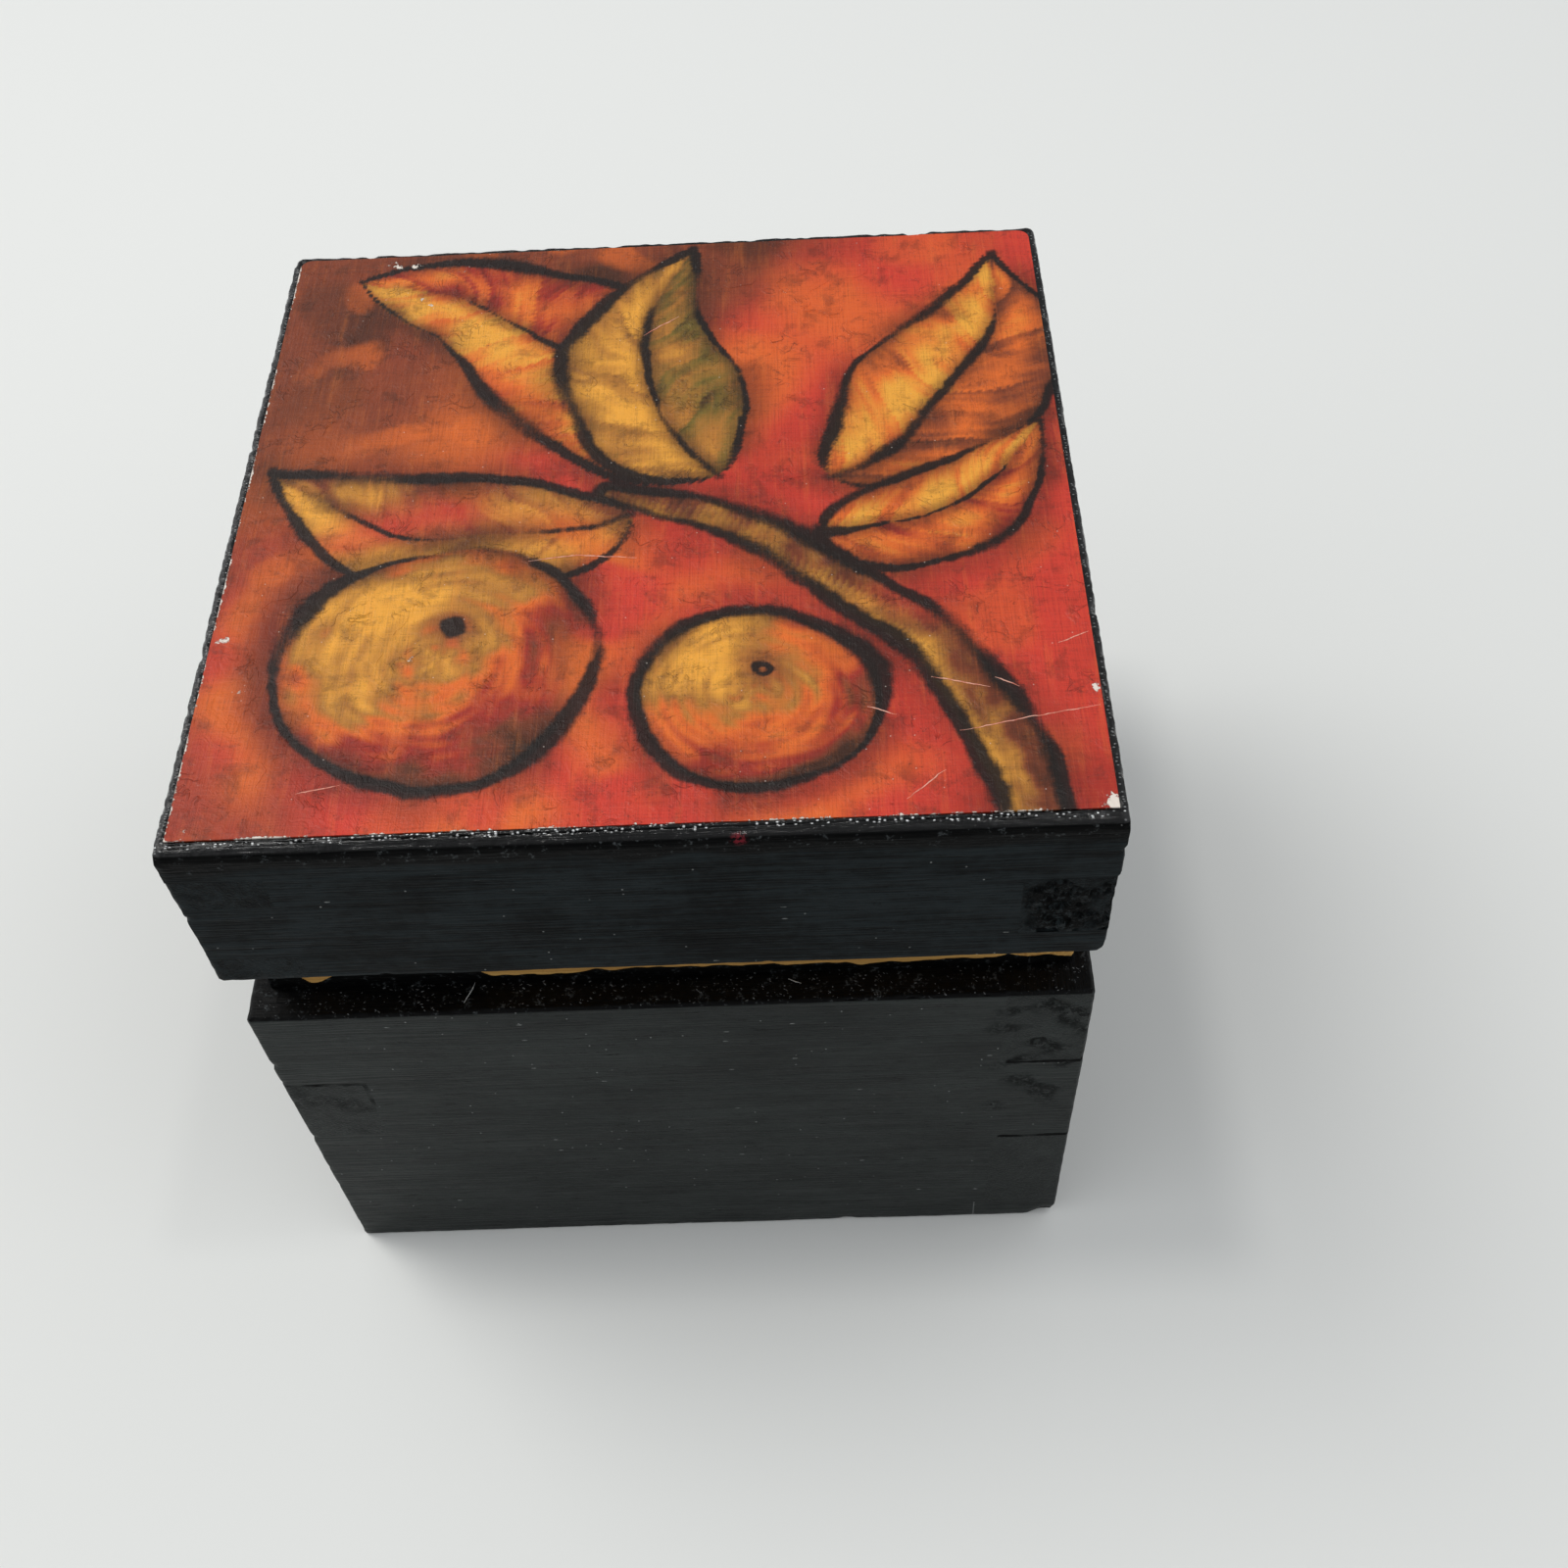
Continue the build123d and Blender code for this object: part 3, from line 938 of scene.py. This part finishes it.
def paint_leaf(picture, leaf):
    """A leaf with one lit half, a rib, and side veins that each shade the part below them."""
    t, side = leaf.across(picture.spots)
    edge = np.abs(side) - leaf.width_at(t)
    s = side / np.maximum(leaf.width_at(t), 0.5)
    count = max(4, round(leaf.length / 9))
    phase = t * count - 0.8 * np.abs(s) + 0.10 * picture.patch(6)
    spacing = leaf.length / count
    tone = 0.04 + 0.32 * smooth(-s, -0.35, 0.35) + 0.26 * smooth(np.abs(s), 0.35, 1.0)
    tone += 0.20 * fade_out(np.abs(s), 0.0, 0.45) * (s < 0)
    tone += 0.13 * picture.patch(8) + 0.06 * picture.patch(3)
    tone += 0.07 * picture.strokes(side * 1.6, phase * spacing)
    below_vein = smooth(phase % 1, 0.45, 0.98) * fade_out(phase % 1, 0.98, 1.0)
    tone += 0.22 * below_vein * fade_out(np.abs(s), 0.5, 1.0)
    blade = shades(tone, (0.0, leaf.light), (0.34, leaf.middle), (0.66, leaf.dark), (0.95, UMBER))
    picture.shape(edge, blade, shadow=0.70)
    rib = np.where(edge < 0, np.abs(side) + 1.2 * smooth(t, 0.70, 0.97), 9.0)
    picture.tint(0.6 * fade_out(rib, 0.3, 2.4), UMBER)
    picture.line(rib, 0.62)


def paint_branch(picture):
    """The bent branch, thick at the front edge and thin at its end."""
    knots = np.array(BRANCH, float)
    t = np.linspace(0, 1, LINE_STEPS)[:, None]
    middle = (1 - t) ** 3 * knots[0] + 3 * t * (1 - t) ** 2 * knots[1]
    middle = middle + 3 * t ** 2 * (1 - t) * knots[2] + t ** 3 * knots[3]
    near, gap = nearest_on(middle, picture.spots)
    half = 4.0 - 2.4 * t[near, 0]
    tone = 0.45 + 0.45 * gap[:, 0] / half + 0.12 * picture.patch(4) + 0.08 * picture.patch(1.6)
    tone += 0.10 * picture.strokes(t[near, 0] * 80, gap[:, 0])
    bark = shades(tone, (0.0, YELLOW), (0.35, OCHRE), (0.65, BROWN), (0.95, UMBER))
    picture.shape(np.linalg.norm(gap, axis=1) - half, bark, shadow=0.5, line=0.85)


# Places where the sheet has chipped, from the middle of the box, with their radius and bareness
CHIPS = [
    ((48.5, -46.9), 1.0, 1.0),
    ((-35.8, 47.0), 0.9, 0.6),
    ((-31.4, 39.4), 0.6, 0.55),
    ((-30.0, 37.9), 0.6, 0.55),
    ((-47.6, -20.2), 0.8, 0.7),
    ((-33.0, 46.4), 0.7, 0.5),
    ((-27.0, 45.2), 0.6, 0.5),
    ((48.5, -31.6), 0.5, 0.8),
    ((-46.9, -46.6), 0.4, 0.6),
    ((-44.5, -27.6), 0.6, 0.5),
    ((-25.8, -23.9), 0.5, 0.5),
]


def paint_picture(mesh, points):
    """Colours and outlines of the whole picture, kept as fields of a mesh on the sheet."""
    picture = Picture((points[:, :2] - SHEET_MIDDLE[:2]) / MM)
    paint_ground(picture)
    paint_leaf(picture, LEAVES[0])
    paint_leaf(picture, LEAVES[1])
    paint_branch(picture)
    for leaf in LEAVES[2:]:
        paint_leaf(picture, leaf)
    for fruit in FRUITS:
        paint_fruit(picture, *fruit)
    chip = np.zeros(len(points))
    for place, radius, bareness in CHIPS:
        distance = np.linalg.norm(points[:, :2] / MM - np.array(place), axis=1)
        chip = np.maximum(chip, bareness * fade_out(distance, 0.2 * radius, 2.0 * radius))
    from_edge = np.minimum(points[:, 1] - SHEET_LOW[1], points[:, 0] - SHEET_LOW[0])
    rubbed_edge = fade_out(from_edge, 0, 0.3 * MM) * (0.50 + 0.25 * waves(points[:, :2], 6 * MM, 64))
    chip = np.maximum(chip, rubbed_edge)
    add_field(mesh, "wash", picture.wash)
    add_field(mesh, "ink", picture.ink)
    add_field(mesh, "chip", chip)


def sheet_mesh():
    """The sheet: a fine grid on top and cut edges down to the panel, closed underneath."""
    size = SHEET_HIGH - SHEET_LOW
    columns, rows = round(size[0] / SHEET_CELL), round(size[1] / SHEET_CELL)
    shape = bmesh.new()
    bmesh.ops.create_grid(shape, x_segments=columns, y_segments=rows, size=0.5)
    bmesh.ops.scale(shape, vec=(size[0], size[1], 1), verts=shape.verts)
    bmesh.ops.translate(shape, vec=(SHEET_MIDDLE[0], SHEET_MIDDLE[1], SHEET_HIGH[2]), verts=shape.verts)
    border = [edge for edge in shape.edges if edge.is_boundary]
    walls = bmesh.ops.extrude_edge_only(shape, edges=border)["geom"]
    for vertex in (item for item in walls if isinstance(item, bmesh.types.BMVert)):
        vertex.co.z = SHEET_LOW[2]
    for face in (item for item in walls if isinstance(item, bmesh.types.BMFace)):
        face.material_index = 1
    bmesh.ops.contextual_create(shape, geom=[edge for edge in shape.edges if edge.is_boundary])
    bmesh.ops.recalc_face_normals(shape, faces=shape.faces)
    mesh = bpy.data.meshes.new("sheet")
    shape.to_mesh(mesh)
    shape.free()
    return mesh


def sheet_level(points):
    """Height of the sheet's uneven top at each place."""
    uneven = np.clip(waves(points[:, :2], 5 * MM, 90) + 0.4 * waves(points[:, :2], 1.5 * MM, 93), -1, 1)
    return SHEET_HIGH[2] - VARNISH_DEPTH + 0.03 * MM * uneven


def picture_piece(material, edge_material):
    """The varnished sheet on the lid, with rounded back corners and an uneven surface."""
    mesh = sheet_mesh()
    points, _ = points_of(mesh)
    paint_picture(mesh, points)
    on_top = points[:, 2] > SHEET_LOW[2] + 0.1 * MM
    points[:, 2] = np.where(on_top, sheet_level(points), points[:, 2])
    for side, edge in ((-1, SHEET_LOW[0]), (1, SHEET_HIGH[0])):
        points = rounded_off(points, (0, 1), (edge, SHEET_HIGH[1]), (-side, -1), SHEET_CORNER_RADIUS)
    move_points(mesh, points)
    shown_piece("lid_print_sheet", mesh, [material, edge_material], BODY_OF[SHEET], SHEET)


# Small things that repeat or follow a line: curls of thick varnish, scratches, hairs and flecks

class Pattern(Nodes):
    """A geometry node tree with named inputs."""

    def __init__(self, name, **kinds):
        super().__init__(bpy.data.node_groups.new(name, "GeometryNodeTree"))
        self.tree.interface.new_socket("Geometry", in_out="OUTPUT", socket_type="NodeSocketGeometry")
        for label, kind in {"Geometry": "Geometry", **kinds}.items():
            self.tree.interface.new_socket(label, in_out="INPUT", socket_type="NodeSocket" + kind)
        self.inputs = self.tree.nodes.new("NodeGroupInput").outputs

    def strewn(self, instance, turn, size):
        """Copies of a shape at random places on the ground, with random turns and sizes."""
        ground, density, seed = (self.inputs[name] for name in ("Geometry", "Density", "Seed"))
        places = {"Mesh": ground, "Density": density, "Seed": seed}
        points = self.add("GeometryNodeDistributePointsOnFaces", places)
        rotation = self.add("FunctionNodeEulerToRotation", {"Euler": self.random(*turn)})
        spread = {"Points": points, "Instance": instance, "Rotation": rotation, "Scale": self.random(*size)}
        copies = self.add("GeometryNodeInstanceOnPoints", spread)
        return self.add("GeometryNodeRealizeInstances", {0: copies})

    def random(self, low, high):
        """Random vector for each place. Each use has its own seed."""
        seed = self.calc("ADD", self.inputs["Seed"], float(len(self.tree.nodes)))
        return self.add("FunctionNodeRandomValue", {0: low, 1: high, 8: seed}, data_type="FLOAT_VECTOR")

    def shaken(self, geometry, size, reach):
        """Geometry whose points are moved by a random field, by no more than reach in each axis."""
        place = self.add("GeometryNodeInputPosition", {})
        field = self.vectors("SUBTRACT", self.noise(place, size, output="Color"), (0.5, 0.5, 0.5))
        offset = self.vectors("MULTIPLY", field, reach)
        return self.add("GeometryNodeSetPosition", {"Geometry": geometry, "Offset": offset})

    def threads(self, curves, thickness):
        """Tubes along curves, thinner towards their ends."""
        along = self.add("GeometryNodeSplineParameter", {})
        taper = self.highest(self.calc("SINE", self.times(along, math.pi)), 0.25)
        taper = self.calc("MINIMUM", self.times(taper, 1.6), 1.0)
        ring = self.add("GeometryNodeCurvePrimitiveCircle", {"Resolution": 8, "Radius": thickness})
        tube = {"Curve": curves, "Profile Curve": ring, "Scale": taper, "Fill Caps": True}
        return self.add("GeometryNodeCurveToMesh", tube)

    def finish(self, geometry):
        """The end of the tree: plain geometry with the chosen material."""
        plain = self.add("GeometryNodeRealizeInstances", {0: geometry})
        dress = {"Geometry": plain, "Material": self.inputs["Material"]}
        dressed = self.add("GeometryNodeSetMaterial", dress)
        self.tree.links.new(dressed, self.tree.nodes.new("NodeGroupOutput").inputs[0])

    def grown_on(self, mesh, **settings):
        """Plain mesh that the tree makes from a mesh, with its inputs set by their names."""
        worker = bpy.data.objects.new(self.tree.name, mesh)
        bpy.context.scene.collection.objects.link(worker)
        modifier = worker.modifiers.new("pattern", "NODES")
        modifier.node_group = self.tree
        for item in self.tree.interface.items_tree:
            if item.in_out == "INPUT" and item.name in settings:
                modifier[item.identifier] = settings[item.name]
        return baked(worker)


def curl_pattern():
    """Short curls strewn over a face."""
    kinds = {"Density": "Float", "Seed": "Int", "Radius": "Float", "Thickness": "Float"}
    p = Pattern("varnish_curls", **kinds, Material="Material")
    bow = {"Resolution": 14, "Radius": p.inputs["Radius"], "Sweep Angle": math.radians(115)}
    arc = p.add("GeometryNodeCurveArc", bow, mode="RADIUS")
    curls = p.strewn(arc, ((0, 0, 0), (0, 0, 2 * math.pi)), ((0.35, 0.35, 1), (1.5, 1.5, 1)))
    curls = p.shaken(curls, 1.6 * MM, (2.4 * MM, 2.4 * MM, 0))
    p.finish(p.threads(curls, p.inputs["Thickness"]))
    return p


def thread_pattern():
    """Threads that follow a mesh's edges and wander a little."""
    kinds = {"Step": "Float", "Wander": "Vector", "Lumps": "Vector", "Thickness": "Float"}
    p = Pattern("threads", **kinds, Material="Material")
    curves = p.add("GeometryNodeMeshToCurve", {"Mesh": p.inputs["Geometry"]})
    steps = {"Curve": curves, "Length": p.inputs["Step"]}
    curves = p.add("GeometryNodeResampleCurve", steps, mode="LENGTH")
    curves = p.shaken(curves, 1.5 * MM, p.inputs["Wander"])
    tubes = p.shaken(p.threads(curves, p.inputs["Thickness"]), 0.5 * MM, p.inputs["Lumps"])
    p.finish(p.add("GeometryNodeSetShadeSmooth", {"Geometry": tubes}))
    return p


def fleck_pattern():
    """Small uneven flecks strewn over faces."""
    p = Pattern("flecks", Density="Float", Seed="Int", Radius="Float", Material="Material")
    grain = p.add("GeometryNodeMeshIcoSphere", {"Radius": p.inputs["Radius"], "Subdivisions": 1})
    flecks = p.strewn(grain, ((0, 0, -0.9), (0.6, 0.6, 0.9)), ((0.3, 0.3, 0.3), (2.6, 0.9, 0.6)))
    p.finish(p.shaken(flecks, 0.12 * MM, (0.10 * MM, 0.10 * MM, 0.04 * MM)))
    return p


def faces_mesh(boxes, height):
    """Level rectangles at a height, each from its lowest to its highest corner."""
    corners, faces = [], []
    for (x0, y0), (x1, y1) in boxes:
        faces.append(tuple(range(len(corners), len(corners) + 4)))
        corners += [(x, y, height) for x, y in ((x0, y0), (x1, y0), (x1, y1), (x0, y1))]
    mesh = bpy.data.meshes.new("ground")
    mesh.from_pydata(corners, [], faces)
    return mesh


def lines_mesh(lines):
    """Edges that join each line's points, given in millimetres."""
    points, edges = [], []
    for line in lines:
        edges += [(len(points) + step, len(points) + step + 1) for step in range(len(line) - 1)]
        points += [tuple(value * MM for value in point) for point in line]
    mesh = bpy.data.meshes.new("lines")
    mesh.from_pydata(points, edges, [])
    return mesh


# Scratches in the varnish, as places on the lid in millimetres
SCRATCHES = [
    [(33.6, -36.9), (39.9, -35.6), (48.6, -34.1)],
    [(27.4, -45.6), (29.6, -43.8), (31.7, -42.0)],
    [(45.1, -25.1), (48.6, -23.6)],
    [(37.8, -29.6), (40.3, -31.1)],
    [(31.0, -29.3), (37.2, -31.0)],
    [(-14.0, -9.5), (-8.0, -8.9), (-1.5, -9.8)],
    [(24.0, -33.2), (27.0, -34.4)],
    [(-2.0, 30.0), (2.5, 33.5)],
    [(-36.0, -42.0), (-31.5, -41.2)],
]
# Middles of the longer curls of varnish
CURLS = [
    (-16.8, -27.6),
    (-13.7, 22.5),
    (10.4, 39.6),
    (20.5, 32.9),
    (-15.4, 45.8),
    (42.0, -1.1),
    (-41.0, -13.0),
]
SCRATCH_RADIUS = 0.07 * MM
CURL_RADIUS = 0.13 * MM
# Beads of thick black paint that run along the front edge of the sheet, one behind the other
BEADS = [
    [(-48.6, -47.86, 95.70), (0, -47.88, 95.72), (49.3, -47.86, 95.70)],
    [(-49.0, -48.25, 95.58), (-10, -48.35, 95.56), (20, -48.22, 95.60), (49.4, -48.3, 95.56)],
]
BEAD_RADIUS = 0.24 * MM
# Hairs that lie on the front ledge, in millimetres
HAIRS = [
    [(-22.9, -45.1, 62.2), (-23.3, -46.2, 62.0), (-24.1, -47.7, 61.95)],
    [(14.0, -46.0, 61.95), (15.6, -46.7, 62.0)],
]
HAIR_RADIUS = 0.05 * MM
FLECK_RADIUS = 0.10 * MM
FLECKS_PER_SQUARE = 1.1 / MM ** 2
CURLS_PER_SQUARE = 0.011 / MM ** 2


def lay_on_sheet(mesh, sink):
    """Moves a mesh that was made at height 0 onto the sheet's top, sunk in by a depth."""
    points, _ = points_of(mesh)
    points[:, 2] += sheet_level(points) - sink
    move_points(mesh, points)
    return points


def squiggle(middle, seed):
    """Line of a wandering curl of varnish around a place, at height 0."""
    rng = np.random.default_rng(seed)
    turns = np.cumsum(rng.uniform(-0.9, 0.9, 9)) + rng.uniform(0, 2 * math.pi)
    steps = np.cumsum(np.stack((np.cos(turns), np.sin(turns)), axis=1) * 0.75, axis=0)
    return [(middle[0] + x, middle[1] + y, 0) for x, y in steps - steps.mean(axis=0)]


def varnish_curls(material):
    """Raised curls where the varnish was brushed on too thick."""
    low, high = SHEET_LOW[:2] + 3 * MM, SHEET_HIGH[:2] - 3 * MM
    settings = {"Density": CURLS_PER_SQUARE, "Seed": 4, "Radius": 2.2 * MM}
    strewn = curl_pattern().grown_on(faces_mesh([(low, high)], 0), **settings, Thickness=0.8 * CURL_RADIUS)
    longer = lines_mesh([squiggle(middle, seed) for seed, middle in enumerate(CURLS)])
    wander = (0.8 * MM, 0.8 * MM, 0)
    longer = thread_pattern().grown_on(longer, Step=0.3 * MM, Wander=wander, Thickness=CURL_RADIUS)
    for name, mesh in (("small", strewn), ("long", longer)):
        points = lay_on_sheet(mesh, 0.3 * CURL_RADIUS)
        paint_picture(mesh, points)
        shown_piece(f"varnish_{name}_curls", mesh, [material], "lid")


def paint_beads(material):
    """Lumpy beads of gloss paint in front of the sheet."""
    beads = {"Step": 0.22 * MM, "Wander": (0, 0.25 * MM, 0.12 * MM), "Lumps": (0, 0.16 * MM, 0.16 * MM)}
    mesh = thread_pattern().grown_on(lines_mesh(BEADS), **beads, Thickness=BEAD_RADIUS)
    points, _ = points_of(mesh)
    add_field(mesh, "grain", points)
    add_field(mesh, "wet", np.ones(len(points)))
    add_field(mesh, "painted_glints", painted_glints("lid_top_panel", points))
    move_points(mesh, points)
    shown_piece("lid_front_paint_beads", mesh, [material], "lid")


def scratches(material):
    """Pale scratches across the varnish."""
    lines = lines_mesh([[(x, y, 0) for x, y in line] for line in SCRATCHES])
    wander = (0.5 * MM, 0.5 * MM, 0)
    mesh = thread_pattern().grown_on(lines, Step=0.35 * MM, Wander=wander, Thickness=SCRATCH_RADIUS)
    lay_on_sheet(mesh, 0.2 * SCRATCH_RADIUS)
    shown_piece("varnish_scratches", mesh, [material], "lid")


def ledge_dirt(fleck_material, hair_material):
    """Flecks of dust and dried paint on the ledge below the lid, the paler ones also painted highlights,
    and two hairs.
    """
    x_in, y_in = NECK_SIDE + 0.2 * MM, NECK_FRONT + 0.2 * MM
    x_out, y_out = BODY_HIGH[0] - 0.5 * MM, BODY_HIGH[1] - 0.4 * MM
    strips = [((-x_out, -y_out), (x_out, -y_in)), ((-x_out, y_in), (x_out, y_out))]
    strips += [((-x_out, -y_in), (-x_in, y_in)), ((x_in, -y_in), (x_out, y_in))]
    ground = faces_mesh(strips, RIM - 0.06 * MM)
    settings = {"Density": FLECKS_PER_SQUARE, "Seed": 9, "Radius": FLECK_RADIUS}
    flecks = fleck_pattern().grown_on(ground, **settings)
    shown_piece("ledge_flecks", flecks, [fleck_material], "body")
    bends = {"Step": 0.25 * MM, "Wander": (0.5 * MM, 0.5 * MM, 0.1 * MM)}
    hairs = thread_pattern().grown_on(lines_mesh(HAIRS), **bends, Thickness=HAIR_RADIUS)
    shown_piece("ledge_hairs", hairs, [hair_material], "body")


# Stage, light and camera. Each lamp has its place, its width, its power and its colour
LAMPS = {
    "window": ((-0.62, 0.26, 1.05), 0.62, 3.8, (1.0, 0.98, 0.94)),
    "bulb": ((-0.16, 0.02, 0.85), 0.08, 0.80, (1.0, 0.98, 0.95)),
    "small_bulb": ((0.20, -0.04, 0.90), 0.05, 0.40, (1.0, 0.98, 0.95)),
}
LIT_PLACE = Vector((0, 0, 0.06))
SKY_LEFT = (-0.90, 0.10, 0.42)
SKY_RIGHT = (0.92, -0.10, 0.38)
DIM_SKY = 0.30
BRIGHT_SKY = 1.10
RIGHT_SKY = 0.68
FLOOR_HALF = 3.0
SENSOR_WIDTH = 36


def lamp(name, place, size, energy, colour):
    """A round soft lamp that shines on the box."""
    data = bpy.data.lights.new(name, "AREA")
    data.shape = "DISK"
    data.size, data.energy, data.color = size, energy, colour
    holder = bpy.data.objects.new(name, data)
    holder.location = place
    holder.rotation_mode = "QUATERNION"
    holder.rotation_quaternion = (LIT_PLACE - Vector(place)).to_track_quat("-Z", "Y")
    bpy.context.scene.collection.objects.link(holder)


def pale_sky():
    """A pale sky, brightest at the left, less at the right and dim overhead."""
    world = bpy.data.worlds.new("sky")
    world.use_nodes = True
    sky = Nodes(world.node_tree)
    background = world.node_tree.nodes["Background"]
    direction = sky.add("TexCoord", {}, "Generated")
    leftward = sky.vectors("DOT_PRODUCT", direction, SKY_LEFT, "Value")
    rightward = sky.vectors("DOT_PRODUCT", direction, SKY_RIGHT, "Value")
    from_left = sky.ramp(leftward, 0.3, 1.0, DIM_SKY, BRIGHT_SKY)
    from_right = sky.ramp(rightward, 0.3, 1.0, 0.0, RIGHT_SKY)
    sky.wire(SKY, background.inputs["Color"])
    sky.wire(sky.calc("ADD", from_left, from_right), background.inputs["Strength"])
    bpy.context.scene.world = world


def stage():
    """Plain pale floor, a soft lamp from the upper left and two small ones overhead."""
    f = Finish("pale_floor")
    f.set(Base_Color=FLOOR_GREY, Roughness=0.9, Specular_IOR_Level=0.1)
    corners = ((-FLOOR_HALF, -FLOOR_HALF), (FLOOR_HALF, FLOOR_HALF))
    floor = bpy.data.objects.new("floor", faces_mesh([corners], 0))
    floor.data.materials.append(f.material)
    bpy.context.scene.collection.objects.link(floor)
    for name, settings in LAMPS.items():
        lamp(name, *settings)


def camera():
    """The camera at the photo's viewing angle."""
    data = bpy.data.cameras.new("camera")
    data.lens, data.sensor_width = CAMERA_LENS, SENSOR_WIDTH
    data.clip_start, data.clip_end = 0.01, 20
    holder = bpy.data.objects.new("camera", data)
    turn = Matrix.Rotation(-CAMERA_YAW, 4, "Z") @ Matrix.Rotation(math.pi / 2 - CAMERA_PITCH, 4, "X")
    holder.matrix_world = Matrix.Translation(CAMERA_PLACE) @ turn @ Matrix.Rotation(CAMERA_ROLL, 4, "Z")
    bpy.context.scene.collection.objects.link(holder)
    bpy.context.scene.camera = holder


camera()
pale_sky()
stage()
# The body's paint is lighter than the lid's, partly as a painted reflection of the floor
paints = {
    "lid": painted_wood("lid_black_paint", LID_BLACK, LID_STREAK, spread=0.22, specular=0.04),
    "body": painted_wood("body_black_paint", BODY_BLACK, BODY_STREAK, spread=0.42, specular=0.10),
}
for wooden in WOODEN:
    wooden_piece(wooden, paints[BODY_OF[wooden]])
picture_paint = picture_finish()
cut_edge = plain_finish("cut_paper_edge", PAPER, PAPER_DIRT, dirt_size=1.3 * MM, roughness=0.6)
picture_piece(picture_paint, cut_edge)
varnish_curls(picture_paint)
paint_beads(paints["lid"])
scratches(plain_finish("scraped_varnish", SCRATCH, SCRATCH_DIRT, dirt_size=1.1 * MM, roughness=0.4))
ledge_dirt(
    plain_finish("ledge_dust", LEDGE_DUST, DRIED_FLECK_AND_GLINT, dirt_size=1.4 * MM, roughness=0.5),
    plain_finish("pale_lint", LINT, LINT_DIRT, dirt_size=0.8 * MM, roughness=0.7),
)

bpy.context.scene.view_settings.view_transform = "Standard"
